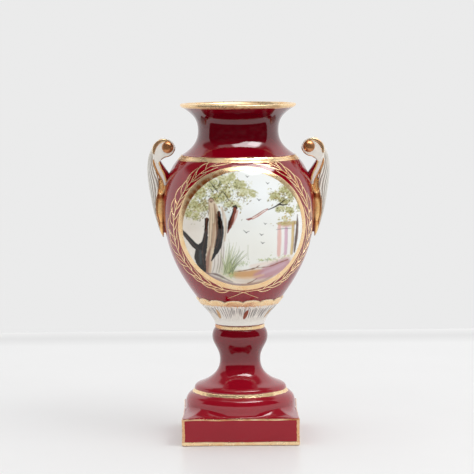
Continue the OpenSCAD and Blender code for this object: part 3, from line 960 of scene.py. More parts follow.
    # Ground: far bank, path, mauve field and the curved foreground
    stroke((232, 216, 204), [(0.15, -0.64, 0.03), (0.45, -0.59, 0.04), (0.80, -0.52, 0.04)], 0.7, 0.04)
    wash((216, 198, 182), 0.15, -0.92, 0.45, 0.12, 0.85)
    stroke((206, 156, 102), [(-0.18, -0.78, 0.045), (0.05, -0.78, 0.070), (0.30, -0.76, 0.065)], 0.95, 0.05,
           0.01)
    stroke((190, 140, 150), [(0.26, -0.82, 0.07), (0.48, -0.74, 0.12), (0.72, -0.63, 0.10)], 0.9, 0.06, 0.01)
    stroke((224, 190, 150), [(-0.10, -0.84, 0.02), (0.15, -0.85, 0.025), (0.35, -0.80, 0.02)], 0.6, 0.03)
    stroke((206, 176, 190), [(0.34, -0.78, 0.02), (0.55, -0.70, 0.03), (0.70, -0.63, 0.02)], 0.6, 0.03)
    stroke((110, 72, 44), [(-0.12, -0.735, 0.005), (0.05, -0.71, 0.010), (0.22, -0.67, 0.011),
                           (0.28, -0.63, 0.006)], 0.9, 0.012, 0.008)
    stroke((140, 84, 60), [(0.24, -0.67, 0.006), (0.45, -0.655, 0.009), (0.62, -0.60, 0.010),
                           (0.76, -0.56, 0.006)], 0.85, 0.012, 0.008)
    dabs([(170, 182, 120), (196, 200, 140), (130, 146, 90)], 0.45, -0.53, 0.20, 0.035, 60, 0.022, 0.55)
    dabs([(170, 182, 120), (196, 190, 110)], 0.70, -0.50, 0.10, 0.03, 24, 0.018, 0.5)
    stroke((150, 124, 122), [(-0.62, -0.80, 0.05), (-0.40, -0.90, 0.05), (-0.10, -1.0, 0.05), (0.2, -1.0, 0.05),
                             (0.5, -0.92, 0.03)], 0.85, 0.03, 0.01)
    stroke((100, 70, 74), [(-0.56, -0.775, 0.008), (-0.42, -0.79, 0.020), (-0.28, -0.86, 0.014),
                           (-0.15, -0.92, 0.006)], 0.85, 0.02, 0.008)
    stroke((236, 224, 208), [(-0.35, -0.76, 0.012), (-0.24, -0.84, 0.014), (-0.08, -0.93, 0.012),
                             (0.10, -0.95, 0.010)], 0.9, 0.015)
    stroke((112, 72, 50), [(0.10, -0.95, 0.010), (0.17, -0.92, 0.008), (0.25, -0.865, 0.004)], 0.9, 0.012)
    stroke((170, 128, 96), [(0.0, -0.97, 0.012), (0.3, -0.93, 0.016), (0.5, -0.84, 0.012)], 0.6, 0.03)

    # Grass in front of the tree
    wash((170, 182, 130), -0.22, -0.72, 0.14, 0.12, 0.6)
    for k in range(44):
        root = -0.30 + 0.16 * canvas.draw.random()
        lean = canvas.draw.normal(0.10, 0.10)
        tall = canvas.draw.uniform(0.18, 0.55) * (1.0 - 0.8 * abs(lean - 0.05))
        tone = ((160, 172, 120), (126, 142, 96), (196, 200, 160), (112, 120, 92))[k % 4]
        base = -0.78 + 0.05 * canvas.draw.random()
        stroke(tone, [(root, base, 0.007), (root + 0.35 * lean, base + 0.5 * tall, 0.006),
                      (root + lean, base + tall, 0.002)], 0.75, 0.01)
    for u, v, lean, tall in ((-0.16, -0.55, 0.06, 0.34), (-0.12, -0.60, 0.07, 0.32), (0.07, -0.50, 0.03, 0.24),
                             (0.10, -0.52, -0.02, 0.26), (-0.20, -0.45, -0.03, 0.30)):
        stroke((176, 182, 150), [(u, v, 0.004), (u + lean, v + tall, 0.002)], 0.6, 0.012)
    dabs([(176, 190, 130), (140, 160, 96)], 0.03, -0.58, 0.10, 0.06, 40, 0.02, 0.5)
    dabs([(190, 204, 150), (150, 170, 110)], -0.2, -0.80, 0.10, 0.06, 40, 0.022, 0.55)
    return canvas


def disc_grid(n):
    """Rows of a square grid bent evenly into the unit disc."""
    axis = np.linspace(-1, 1, n)
    x, y = np.meshgrid(axis, axis)
    wide = np.abs(x) > np.abs(y)
    r = np.where(wide, x, y)
    safe_x, safe_y = np.where(x == 0, 1, x), np.where(y == 0, 1, y)
    angle = np.where(wide, np.pi / 4 * y / safe_x, np.pi / 2 - np.pi / 4 * x / safe_y)
    return r * np.cos(angle), r * np.sin(angle)


def make_medallion():
    """The painted medallion: a disc bent onto the bowl that carries the canvas as its paint layer."""
    n = 299
    u, v = disc_grid(n)
    grow = 1.006
    lift = 0.12 * np.clip((1 - np.hypot(u, v)) / 0.012, 0.2, 1)
    top = on_body(grow * MED_RX * u, MED_Z + grow * MED_RZ * v, 0)
    out = on_body(grow * MED_RX * u, MED_Z + grow * MED_RZ * v, 1) - top
    verts = [(top + out * lift[..., None]).reshape(-1, 3)]
    faces = [tuple(f) for f in grid_faces(n, n, close_columns=False)]
    index = np.arange(n * n).reshape(n, n)
    rim = np.concatenate([index[0, :-1], index[:-1, -1], index[-1, :0:-1], index[:0:-1, 0]])
    count = len(rim)
    rim_u, rim_v = u.ravel()[rim] * grow, v.ravel()[rim] * grow
    previous, total = rim, n * n
    for scale, sink in ((1.0, -0.1), (0.96, -0.3), (0.7, -0.3), (0.4, -0.3), (0.12, -0.3)):
        loop = on_body(MED_RX * rim_u * scale, MED_Z + MED_RZ * rim_v * scale, sink)
        verts.append(loop)
        ids = np.arange(total, total + count)
        step = np.stack([previous, ids, np.roll(ids, -1), np.roll(previous, -1)], 1)
        faces += [tuple(f) for f in step]
        previous, total = ids, total + count
    verts.append(on_body(np.zeros(1), np.array([MED_Z]), -0.3))
    faces += [(previous[k], total, previous[(k + 1) % count]) for k in range(count)]
    canvas = paint_landscape()
    side = canvas.size - 1
    centred = u.ravel() * grow + 0.034 * (1 - u.ravel() ** 2)
    columns = (np.clip(centred, -1, 1) + 1.03) / 2.06 * side
    rows = (np.clip(v.ravel() * grow, -1, 1) + 1.03) / 2.06 * side
    i, j = rows.astype(int), columns.astype(int)
    fi, fj = (rows - i)[:, None], (columns - j)[:, None]
    c = canvas.colour
    front = (c[i, j] * (1 - fi) * (1 - fj) + c[i + 1, j] * fi * (1 - fj)
             + c[i, j + 1] * (1 - fi) * fj + c[i + 1, j + 1] * fi * fj)
    paint = np.tile(WHITE, (total + 1, 1))
    paint[:n * n] = front
    piece("medallion_painting", np.vstack(verts), faces, [painted], "enamel_painting", ["medallion"], paint=paint)


def ring_path(turn, out):
    """A point out from the medallion's edge, square to it, in the front projection."""
    x, z = MED_RX * np.cos(turn), MED_RZ * np.sin(turn)
    nx, nz = np.cos(turn) / MED_RX, np.sin(turn) / MED_RZ
    size = np.hypot(nx, nz)
    return x + out * nx / size, MED_Z + z + out * nz / size


# Share of the ring's width, height off the glaze
RING_SECTION = ((0, 0.0), (0.04, 0.12), (0.12, 0.15), (0.3, 0.16), (0.5, 0.16), (0.7, 0.16), (0.88, 0.15), (0.96, 0.11),
                (1, -0.03))


def make_ring():
    """The gold ring round the painting: wider at the upper left, where a painted dark reflection browns its inner part,
    and a little wider at the bottom.
    """
    turn = np.linspace(0, 2 * np.pi, 720, endpoint=False)
    from_upper_left = np.angle(np.exp(1j * (turn - math.radians(136))))
    width = 1.85 + 1.3 * np.exp(-(from_upper_left / 0.48) ** 2) + 0.6 * np.exp(-((turn - 1.5 * np.pi) / 0.55) ** 2)
    width = width + wobble(turn, 51, (3, 7, 12, 20), 0.07)
    patchy = np.clip(0.75 + 0.5 * wobble(turn, 53, (11, 23, 37, 60), 1.0), 0, 1)
    loops, brown = [], []
    for t, lift in RING_SECTION:
        loops.append(on_body(*ring_path(turn, -0.3 + (width + 0.3) * t), lift))
        # Painted reflection: the brown layer darkens the inner part of the ring at the upper left, in patches.
        inner = np.clip((0.62 - t) / 0.2, 0, 1)
        brown.append(np.clip(1.35 * inner * patchy, 0, 1) * np.exp(-(from_upper_left / 0.52) ** 4))
    for t in (0.97, 0.03):
        loops.append(on_body(*ring_path(turn, -0.3 + (width + 0.3) * t), -0.2))
        brown.append(0 * turn)
    verts, faces = lofted(loops, close=True)
    piece("ring_gold", verts, faces, [gold], "gilding", ["medallion_ring"], brown=np.concatenate(brown))


# ---------------------------------------------------------------- laurel wreath
def wreath_point(side, sweep, out):
    """A point beside the ring: sweep in degrees up from the bottom, out from the ring's edge."""
    turn = math.radians(-90 + side * sweep)
    x, z = ring_path(np.array(turn), 1.9 + out)
    return float(x), float(z)


# Sweep in degrees, distance out from the ring
STEM = ((-12, 5.3), (-6, 3.1), (0, 1.4), (9, 1.0), (20, 1.4), (40, 1.9), (70, 2.1), (100, 2.2), (125, 2.4), (143, 2.9),
        (158, 3.3), (168, 3.2))


def make_wreath():
    """Two laurel branches that cross under the medallion and meet the shoulder band above it."""
    parts = []
    draw = np.random.default_rng(23)
    top_z = box_heights("shoulder_gilding")[0] + 0.2
    sweeps, outs = np.array(STEM).T

    def add(side, points, width):
        line = [wreath_point(side, sweep, np.interp(sweep, sweeps, outs) + off) for sweep, off in points]
        parts.append(stroke_on_body([(x, min(z, top_z)) for x, z in line], width))

    for side in (-1, 1):
        add(side, [(sweep, 0.0) for sweep in sweeps], 0.72)
        sweep = 12.0
        while sweep < 152:
            longer = 1 + 0.5 * sweep / 150
            reach = draw.uniform(1.5, 2.1) * (1 + 0.9 * max(0, sweep / 150 - 0.5))
            span = draw.uniform(11, 14) * longer
            add(side, [(sweep, 0.0), (sweep + 0.28 * span, 0.75 * reach), (sweep + 0.62 * span, reach),
                       (sweep + span, draw.uniform(0.7, 1.05) * reach)], 0.66)
            if draw.random() < 0.6:
                add(side, [(sweep + 0.3 * span, 0.1), (sweep + 0.65 * span, 0.45 * reach),
                           (sweep + 1.02 * span, 0.9 * reach)], 0.5)
            inward = -draw.uniform(1.3, 1.9)
            add(side, [(sweep + 5, 0.0), (sweep + 5 + 0.3 * span, 0.65 * inward),
                       (sweep + 5 + 0.9 * span, inward)], 0.62)
            sweep += draw.uniform(8.5, 11.0)
    verts, faces = joined(parts)
    piece("wreath_gold", verts, faces, [gold], "gilding", ["laurel_wreath"])


make_medallion()
make_ring()
make_wreath()


# ---------------------------------------------------------------- calyx
LOBES = 15
CALYX_T = 0.45
calyx_foot, calyx_top = box_heights("calyx")
LOBE_RISE = 1.2
COLUMNS = 720


def lobe_top(turn):
    """Height of the scalloped edge: pointed gaps between round lobes."""
    part = ((turn - MEDALLION_TURN) / (2 * np.pi / LOBES)) % 1.0
    dip = 1 - np.sqrt(np.clip(1 - (2 * part - 1) ** 2 * 0.97, 0, 1))
    return calyx_top - LOBE_RISE * dip + wobble(turn, 61, (2, 5), 0.12)


def make_calyx():
    """The fluted white cup under the bowl, with painted shade in its flutes, its brush strokes, its dashes and its gold
    edge.
    """
    turn = np.arange(COLUMNS) * 2 * np.pi / COLUMNS
    top = lobe_top(turn)
    flutes = np.abs(np.sin(turn * 45)) ** 0.7
    loops, shades = [], []
    rows = 64

    draw = np.random.default_rng(67)
    strokes = []
    at = 0.0
    while at < 360:
        at += draw.uniform(1.7, 5.4)
        strokes.append((math.radians(at), draw.uniform(63.4, 65.2), draw.uniform(57.4, 61.6), draw.uniform(0.6, 1.0)))
    red, tan = lin(150, 84, 66), lin(206, 166, 120)
    dashes = [(math.radians(10.5 + k * 360 / 7), red if k in (0, 2, 4) else tan) for k in range(7)]

    for k in range(rows):
        t = k / (rows - 1)
        z = calyx_foot + 0.1 + (top - calyx_foot - 0.1) * t
        thick = CALYX_T * np.minimum(1, 0.3 + (z - calyx_foot) / 6)
        depth = 0.16 * np.clip((z - calyx_foot - 1.0) / 2, 0, 1) * np.clip((65.5 - z) / 2, 0, 1)
        edge = 0.12 * (max(0.0, t - 0.97) / 0.03)
        loops.append(urn.point(turn, z, thick - edge + depth * (flutes - 0.6)))
        shade = np.tile(WHITE, (COLUMNS, 1))
        # Painted shade: the hollows of the flutes are greyed.
        groove_shade = (0.20 * np.clip(1 - flutes * 1.6, 0, 1) * np.clip((z - 57) / 3, 0, 1))[:, None]
        shade += groove_shade * (lin(150, 152, 150) - shade)
        size = urn.radius(z)
        for centre, high, low, weight in strokes:
            lean = 0.012 * (z - 61)
            gap = np.abs(np.angle(np.exp(1j * (turn - centre - lean * 0.1)))) * size
            along = np.clip((high - z) / 0.5, 0, 1) * np.clip((z - low) / 1.6, 0, 1)
            cover = (weight * along * np.clip(1.5 - gap / 0.17, 0, 1))[:, None]
            shade += cover * (lin(66, 60, 66) - shade)
        for centre, tone in dashes:
            gap = np.angle(np.exp(1j * (turn - centre))) * size - 0.22 * (z - 60.8)
            oval = (gap / 0.95) ** 2 + ((z - 60.8) / 2.5) ** 2
            cover = np.clip((1.15 - oval) * 3, 0, 1)[:, None]
            shade += cover * (tone - shade)
        shades.append(shade)
    inner = [(calyx_foot + 0.2 + (top - calyx_foot - 0.2) * t, -0.15) for t in np.linspace(1, 0, 22)]
    for z, lift in [(top + 0.06, 0.12)] + inner + [(calyx_foot + 0 * top, 0.05)]:
        loops.append(urn.point(turn, z, lift))
        shades.append(np.tile(WHITE, (COLUMNS, 1)))
    verts, faces = lofted(loops, close=True)
    piece("calyx_relief", verts, faces, [painted], "white_porcelain", ["calyx"], paint=np.vstack(shades))

    streaks = 0.9 * np.clip(wobble(turn, 73, (71, 97, 131, 163), 1.0) - 0.3, 0, 1.4)
    low = np.minimum(65.2 + wobble(turn, 71, (5, 13, 29, 60), 0.5) - streaks, top - 1.1)
    gild = []
    for k in range(12):
        t = k / 11
        z = low + (top + 0.1 - low) * t
        lift = CALYX_T + 0.13 * min(1.0, 5 * t + 0.1) - (0.42 if k == 11 else 0.14 if k == 10 else 0.0)
        gild.append(urn.point(turn, z, lift))
    gild.append(urn.point(turn, top + 0.12, -0.12))
    gild.append(urn.point(turn, top - 0.3, 0.1))
    gild.append(urn.point(turn, low + 0.2, 0.25))
    verts, faces = lofted(gild, close=True)
    piece("calyx_gold", verts, faces, [gold], "gilding", ["calyx"])


make_calyx()


# ---------------------------------------------------------------- plinth gilding
def wave_loop(half, corner, z, size, seed):
    """A square loop whose height wavers round it."""
    loop = square_loop(half, corner, z)
    angle = np.arctan2(loop[:, 1], loop[:, 0])
    loop[:, 2] += wobble(angle, seed, (3, 5, 9, 14, 23), size)
    return loop


def make_plinth_gilding():
    """Gold round the top edge, down the four corners and round the foot of the plinth."""
    half, h = PLINTH_HALF, PLINTH_H
    loops, brown = [], []
    for k, (a, out) in enumerate(((-24, -0.06), (-12, 0.05), (8, 0.08), (26, 0.09), (42, 0.08), (50, -0.05))):
        a = math.radians(a)
        inset = TOP_ROUND * (1 - math.cos(a)) - out * math.cos(a)
        z = h - TOP_ROUND * (1 - math.sin(a)) + out * math.sin(a)
        loop = sag(wave_loop(half - 0.02 - inset, CORNER_TOP, z, 0.16 if k in (0, 1) else 0.06, 81), 0.05, 3)
        turn = np.arctan2(loop[:, 1], loop[:, 0])
        loops.append(loop)
        brown.append(np.clip(0.35 + 0.8 * wobble(turn, 87, (5, 11, 19, 31), 1.0), 0, 1))
    for a in (40, -14):
        a = math.radians(a)
        loops.append(square_loop(half - 0.35 - TOP_ROUND * (1 - math.cos(a)), 1.2,
                                 h - 0.3 - TOP_ROUND * (1 - math.sin(a))))
        brown.append(np.zeros(len(loops[-1])))
    verts, faces = lofted(loops, close=True)
    parts = [(verts, faces)]
    for quarter in range(4):
        zs = np.linspace(1.6, h - 0.6, 30)
        left = 0.12 + np.abs(wobble(zs * 0.5, 91 + quarter, (1, 2, 3, 5), 0.22))
        corner = []
        for z, w in zip(zs, left):
            bow = 0.12 * math.sin(math.pi * (z - 1) / (h - 2))
            loop = []
            for a in np.linspace(-90, 0, 7):
                a = math.radians(a)
                loop.append((half - 1.1 - bow + 1.16 * math.cos(a), -half + 1.1 + bow + 1.16 * math.sin(a)))
            loop.insert(0, (half - 1.1 - bow - w, -half + bow - 0.04))
            loop.append((half - bow + 0.04, -half + 1.1 + bow + w))
            loop += [(half - 0.5, -half + 1.3 + w), (half - 1.2, -half + 1.2), (half - 1.3 - w, -half + 0.5)]
            corner.append(np.array(quarter_turned(quarter, loop, z)))
        parts.append(lofted(corner))
        brown.append(np.full(len(parts[-1][0]), 0.45))
    verts, faces = joined(parts)
    piece("plinth_edge_gold", verts, faces, [gold], "gilding", ["plinth_edge_gilding"], brown=np.concatenate(brown))

    loops = []
    for k, (z, out) in enumerate(((0.25, -0.1), (0.4, 0.09), (0.9, 0.11), (1.5, 0.11), (1.95, 0.08), (2.1, -0.05))):
        amount = 0.16 if k >= 4 else 0.03
        loops.append(sag(wave_loop(half - 0.03 + out - 0.10 * (z > 1.8), 1.35, z, amount, 85), 0.05, 3))
    loops.append(square_loop(half - 0.5, 1.2, 1.9))
    loops.append(square_loop(half - 0.5, 1.2, 0.5))
    verts, faces = lofted(loops, close=True)
    piece("plinth_foot_gold", verts, faces, [gold], "gilding", ["plinth_foot_gilding"])


make_plinth_gilding()


# ---------------------------------------------------------------- handles
def strap(stations, square=0.5, around=32, step=0.45):
    """A bar with a rounded-square section: stations are (x, z, half thickness, half depth)."""
    line = smoothed(stations, step, 180)
    along = np.gradient(line[:, :2], axis=0)
    along /= np.linalg.norm(along, axis=1)[:, None]
    outward = np.stack([-along[:, 1], along[:, 0]], 1)
    a = np.arange(around) * 2 * np.pi / around
    cs = np.sign(np.cos(a)) * np.abs(np.cos(a)) ** square
    sn = np.sign(np.sin(a)) * np.abs(np.sin(a)) ** square
    loops = []
    rows = [(0, 0.35, -0.25), (0, 0.8, -0.1)] + [(k, 1, 0) for k in range(len(line))]
    for k, scale, shift in rows + [(-1, 0.8, 0.1), (-1, 0.35, 0.25)]:
        centre = line[k, :2] + along[k] * shift
        off = line[k, 2] * scale * cs
        loops.append(np.stack([centre[0] + outward[k, 0] * off, line[k, 3] * scale * sn,
                               centre[1] + outward[k, 1] * off], 1))
    return lofted(loops), line


def cord(points, radius):
    """A round cord through 3-D points, thinner at both ends."""
    line = smoothed(points, 0.35, 180)
    along = np.gradient(line, axis=0)
    along /= np.linalg.norm(along, axis=1)[:, None] + 1e-12
    side = np.cross(along, np.array([0.0, 1.0, 0.0]))
    side /= np.linalg.norm(side, axis=1)[:, None] + 1e-9
    other = np.cross(along, side)
    t = np.linspace(0, 1, len(line))
    size = radius * np.interp(t, [0, 0.12, 0.85, 1], [0.4, 1, 1, 0.35])
    a = np.arange(10) * 2 * np.pi / 10
    return lofted([line[k] + size[k] * (np.cos(a)[:, None] * side[k] + np.sin(a)[:, None] * other[k])
                   for k in range(len(line))])


LEAF_OUT = smoothed([(41.5, 138.6), (42.7, 135.5), (43.4, 131.5), (43.5, 127), (43.0, 121.5), (42.0, 115.5),
                     (40.95, 109.8), (39.5, 104.5), (38.0, 99.8), (36.4, 96.2)], 0.3, 180)
LEAF_IN = smoothed([(40.3, 136.5), (40.1, 133.5), (39.6, 130.5), (38.9, 127.3), (38.1, 124), (37.8, 121),
                    (38.5, 117.5), (39.1, 114.5), (39.3, 111.5), (39.05, 107.6), (38.3, 103.6), (37.35, 100.1),
                    (36.0, 96.6)], 0.3, 180)


def along_line(line, t):
    """Points (x, z) of a line at the shares t of its length."""
    share = np.linspace(0, 1, len(line))
    return np.stack([np.interp(t, share, line[:, k]) for k in (0, 1)], 1)


def leaf_half(t):
    """Half the width of the leaf at the share t of its length."""
    return np.interp(t, [0, 0.18, 0.4, 0.7, 0.92, 1], [1.7, 4.2, 5.0, 3.6, 1.5, 0.5])


def make_leaf():
    """Acanthus leaf on the outside of a handle: ribs that sweep down from its back to its edges; the dark in its
    grooves is partly painted shade and partly the leaf's grey and brown lines.
    """
    count, arc, back = 150, 81, 9
    ts = np.linspace(0, 1, count)
    outer, inner = along_line(LEAF_OUT, ts), along_line(LEAF_IN, ts)
    a = np.linspace(-np.pi / 2, np.pi / 2, arc)
    loops, paint = [], []
    for k, t in enumerate(ts):
        half = leaf_half(t)
        wave = (np.abs(a) / (np.pi / 2) - 0.9 * t) * 5.5
        ridge = np.abs((wave % 1.0) - 0.5) * 2
        ridge = 1 - (1 - np.clip(ridge * 1.25, 0, 1)) ** 1.5
        fade = np.clip(t / 0.08, 0, 1) * np.clip((1 - t) / 0.06, 0, 1) * np.clip(np.abs(a) / 0.25, 0, 1)
        push = -0.45 * (1 - ridge) * fade
        width = np.cos(a) ** 0.75
        x = inner[k, 0] + (outer[k, 0] - inner[k, 0]) * width + push * np.cos(a)
        z = inner[k, 1] + (outer[k, 1] - inner[k, 1]) * width
        y = (half + push) * np.sin(a)
        scallop = 0.25 * np.sin(t * 55) * fade * (np.abs(a) > 1.35)
        front = np.stack([x + scallop * 0.4, y * (1 + scallop * 0.04), z], 1)
        line = np.linspace(1, -1, back + 2)[1:-1]
        rear = np.stack([inner[k, 0] - 0.15 + 0 * line, half * 0.97 * line, inner[k, 1] + 0 * line], 1)
        loops.append(np.vstack([front, rear]))
        # The grooves are darkened: partly painted shade, partly the leaf's grey lines and the brown lines near its
        # edges.
        groove_shade = ((1 - ridge) ** 0.9 * fade)[:, None]
        tone = np.where((np.abs(a) > 0.9)[:, None], lin(92, 62, 44), lin(84, 88, 94))
        shade = np.tile(WHITE, (arc, 1))
        shade = shade + 0.9 * groove_shade * (tone - shade)
        tip = np.clip((t - 0.86) / 0.1, 0, 1)
        shade = shade + 0.35 * tip * (lin(196, 160, 112) - shade)
        paint.append(np.vstack([shade, np.tile(WHITE, (back, 1))]))
    return lofted(loops), np.vstack(paint)


VOLUTE = ((40.5, 136.2), (40.85, 138.4), (40.1, 140.9), (38.4, 142.8), (35.9, 143.7), (33.4, 143.3),
          (31.1, 141.7), (30.1, 139.2), (31.0, 136.9), (32.9, 135.4), (35.1, 134.8), (37.0, 133.4),
          (38.5, 131.8), (39.9, 133.4))
EYE = (33.5, 139.5)
EYE_FRONT = [(-6.1, 0.5), (-6.0, 1.3), (-5.6, 2.1), (-5.1, 2.65), (-4.4, 2.85), (-2, 2.6)]

# Stations of the straps: x, z, half thickness, half depth
ARM = [(39.1, 136.6, 1.6, 4.4), (39.15, 133.4, 1.6, 4.4), (38.2, 130.0, 1.5, 4.2), (36.55, 126.5, 1.5, 4.0),
       (35.4, 123.5, 1.1, 3.8), (34.9, 121.5, 0.75, 3.5)]
WEB = [(37.6, 133.2, 0.4, 3.6), (36.6, 130.9, 0.8, 3.8), (35.4, 128.6, 1.1, 3.9), (34.4, 126.4, 1.4, 3.9),
       (34.2, 123.5, 1.8, 3.7), (34.6, 119.5, 1.8, 3.3), (35.2, 114, 1.6, 2.9), (35.5, 108, 1.5, 2.5),
       (35.5, 103, 1.2, 2.0), (35.4, 98.6, 0.7, 1.1)]
DROP = [(36.7, 125.6, 0.6, 3.0), (36.7, 124.2, 1.2, 3.5), (36.75, 122.4, 1.7, 3.9), (36.9, 120.6, 1.9, 4.3),
        (37.0, 118.8, 1.8, 4.3), (37.3, 117.2, 1.7, 4.0), (37.3, 116.0, 1.8, 3.7), (37.2, 114.6, 1.9, 3.7),
        (37.15, 113.2, 2.0, 4.2), (37.2, 111.0, 2.15, 4.4), (37.15, 108.5, 2.0, 4.3), (37.05, 106.5, 1.75, 4.1),
        (36.95, 104.5, 1.2, 3.6), (36.85, 102.4, 1.0, 3.1), (36.85, 100.6, 1.05, 2.8), (36.6, 98.6, 0.75, 2.1),
        (36.3, 97.2, 0.3, 1.0)]
CURL = [(40.2, 136.4, 0.45, 4.95), (40.0, 138.6, 0.95, 4.95), (39.15, 140.5, 1.1, 4.95),
        (37.6, 142.0, 1.1, 4.95), (35.8, 142.7, 1.0, 4.95), (33.7, 142.6, 0.7, 4.9), (32.0, 141.7, 0.4, 4.8)]


def slab(outline, depth):
    """A plate in the XZ plane with softened edges, depth to each side of the middle."""
    line = smoothed(list(outline) + [outline[0]], 0.4, 180)[:-1]
    centre = line.mean(0)
    loops = []
    back = [(-1, 0.55), (-1, 0.25), (-0.93, 0.07), (-0.8, 0.0)]
    for y, shrink in back + [(-y, shrink) for y, shrink in back[::-1]]:
        away = centre - line
        moved = line + away / np.linalg.norm(away, axis=1)[:, None] * (shrink * 0.9)
        loops.append(np.stack([moved[:, 0], 0 * moved[:, 0] + depth * y, moved[:, 1]], 1))
    return lofted(loops)


def make_handle(name, node, side):
    """One handle, with side -1 on the left and 1 on the right: volute, arm, web, leaf and gilding."""
    def add(part, made, materials, slot, **options):
        verts, faces = made
        piece(name + part, verts * np.array([side, 1, 1]), faces, materials, slot, [node], **options)

    def add_white(part, made):
        add(part, made, [painted], "white_porcelain", paint=np.tile(WHITE, (len(made[0]), 1)))

    add_white("_volute", slab(VOLUTE, 4.6))
    made, line = strap(ARM)
    add_white("_arm", made)
    add("_web", strap(WEB, 0.7, 28)[0], [burgundy], "burgundy_glaze")
    made, paint = make_leaf()
    add("_leaf", made, [painted], "white_porcelain", paint=paint, sharp=60)

    parts, brown, finish = [], [], []

    def gild(made, amount, soft=0):
        parts.append(made)
        brown.append(np.full(len(made[0]), float(amount)) if np.isscalar(amount) else amount(made[0]))
        finish.extend([soft] * len(made[1]))

    gild(strap(DROP, 0.8, 28, 0.4)[0], lambda v: np.clip(1.5 - np.abs(v[:, 2] - 116.0) / 1.2, 0, 0.95)
         + np.clip(1.2 - np.abs(v[:, 2] - 103.4) / 0.5, 0, 0.5), 1)
    gild(strap(CURL, 0.4, 28, 0.35)[0], lambda v: np.clip(0.6 - np.abs(v[:, 0] - 38.6) / 5, 0.0, 0.6))
    turn = np.linspace(0, 2 * np.pi, 40, endpoint=False)
    ball = []
    for y, r in EYE_FRONT + [(-y, r) for y, r in EYE_FRONT[::-1]]:
        ball.append(np.stack([EYE[0] + r * np.cos(turn), y + 0 * turn, EYE[1] + r * np.sin(turn)], 1))
    gild(lofted(ball), 0.75)
    along = np.gradient(line[:, :2], axis=0)
    along /= np.linalg.norm(along, axis=1)[:, None]
    for y_side in (-1, 1):
        under = [(x, y_side * 4.45, z) for x, z in VOLUTE[7:12]]
        gild(cord(under, 0.24), 0.7)
        for shift, size, amount in ((-0.8, 0.34, 0.15), (0.8, 0.42, 0.6)):
            x = line[:, 0] - along[:, 1] * shift * line[:, 2]
            z = line[:, 1] + along[:, 0] * shift * line[:, 2]
            gild(cord(np.stack([x, y_side * (line[:, 3] - 0.05), z], 1)[6::4], size), amount, 1)
        hook = [(34.9, y_side * 4.0, 121.4), (35.6, y_side * 4.3, 118.8), (36.9, y_side * 4.4, 117.4),
                (38.2, y_side * 4.3, 118.8), (38.4, y_side * 4.0, 121.4), (38.3, y_side * 3.9, 124.0)]
        gild(cord(hook, 0.55), 0.0, 1)
        ts = np.linspace(0.12, 0.96, 30)
        x, z = along_line(LEAF_IN, ts).T
        gild(cord(np.stack([x, y_side * (leaf_half(ts) - 0.05), z], 1), 0.28), 0.5)
    add("_gold", joined(parts), [gold, soft_gold], "gilding", indices=finish, brown=np.concatenate(brown))


make_handle("left", "left_handle", -1)
make_handle("right", "right_handle", 1)


# ---------------------------------------------------------------- tie rod and its hardware
def ring_solid(name, node, material, slot):
    """A washer or gasket with softened edges, sized from its CAD node."""
    low, high = node_mm(node)
    outer = (high[0] - low[0]) / 2
    bore = inside_radius(node)
    z0, z1 = low[2], high[2]
    soft = min(0.15, (z1 - z0) / 3)
    outline = [(bore + soft, z0), (outer - soft, z0), (outer, z0 + soft), (outer, z1 - soft), (outer - soft, z1),
               (bore + soft, z1), (bore, z1 - soft), (bore, z0 + soft)]
    return turned(name, np.array(outline), 96, [material], slot, [node])


def inside_radius(node):
    """The radius of the hole through a CAD node."""
    tree, _ = cad_stations(node)
    low, high = node_mm(node)
    hit = tree.ray_cast(Vector((0.01, HAIR, (low[2] + high[2]) / 2)), Vector((1, 0, 0)))[0]
    return hit.x if hit else 0.0


def make_nut(name, node):
    """A hexagon nut with chamfered corners."""
    low, high = node_mm(node)
    flat = min(high[0] - low[0], high[1] - low[1]) / 2
    across = max(high[0] - low[0], high[1] - low[1]) / 2
    first = 0 if high[0] - low[0] > high[1] - low[1] else math.pi / 6
    count = 96
    a = np.arange(count) * 2 * np.pi / count
    within = (a - first + math.pi / 6) % (math.pi / 3) - math.pi / 6
    hexagon = flat / np.cos(np.pi / 6 - np.abs(within))
    bore = BORE_R - 0.5
    loops = []
    for z, limit in ((low[2], flat), (low[2] + 0.45, across), (high[2] - 0.45, across), (high[2], flat)):
        loops.append(circle(a, np.minimum(hexagon, limit), z))
    for z, r in ((high[2], bore + 0.35), (high[2] - 0.35, bore), (low[2] + 0.35, bore), (low[2], bore + 0.35)):
        loops.append(circle(a, r, z))
    verts, faces = lofted(loops, close=True)
    piece(name, verts, faces, [steel], "rod_steel", [node], sharp=30)


def make_rod():
    """The tie rod with its thread cut as a ridge that climbs round it."""
    low, high = node_mm("tie_rod")
    radius = (high[0] - low[0]) / 2
    pitch, per_turn, around = 0.7, 10, 28
    a = np.arange(around) * 2 * np.pi / around
    rows = int((high[2] - low[2] - 0.6) / pitch * per_turn)
    loops = [circle(a, radius - 0.45, low[2])]
    for k in range(rows + 1):
        z = low[2] + 0.3 + k * pitch / per_turn
        phase = ((z / pitch) - a / (2 * np.pi)) % 1.0
        loops.append(circle(a, radius - 0.38 * np.abs(phase * 2 - 1) ** 1.1, z))
    loops.append(circle(a, radius - 0.45, high[2]))
    verts, faces = lofted(loops)
    piece("threaded_rod", verts, faces, [steel], "rod_steel", ["tie_rod"], sharp=50)


make_rod()
make_nut("nut_above", "upper_nut")
make_nut("nut_below", "lower_nut")
for place in ("upper", "lower"):
    ring_solid(place + "_steel_washer", place + "_washer", steel, "rod_steel")
    ring_solid(place + "_rubber_gasket", place + "_gasket", rubber, "gasket_rubber")
ring_solid("joint_rubber_gasket", "joint_gasket", rubber, "gasket_rubber")


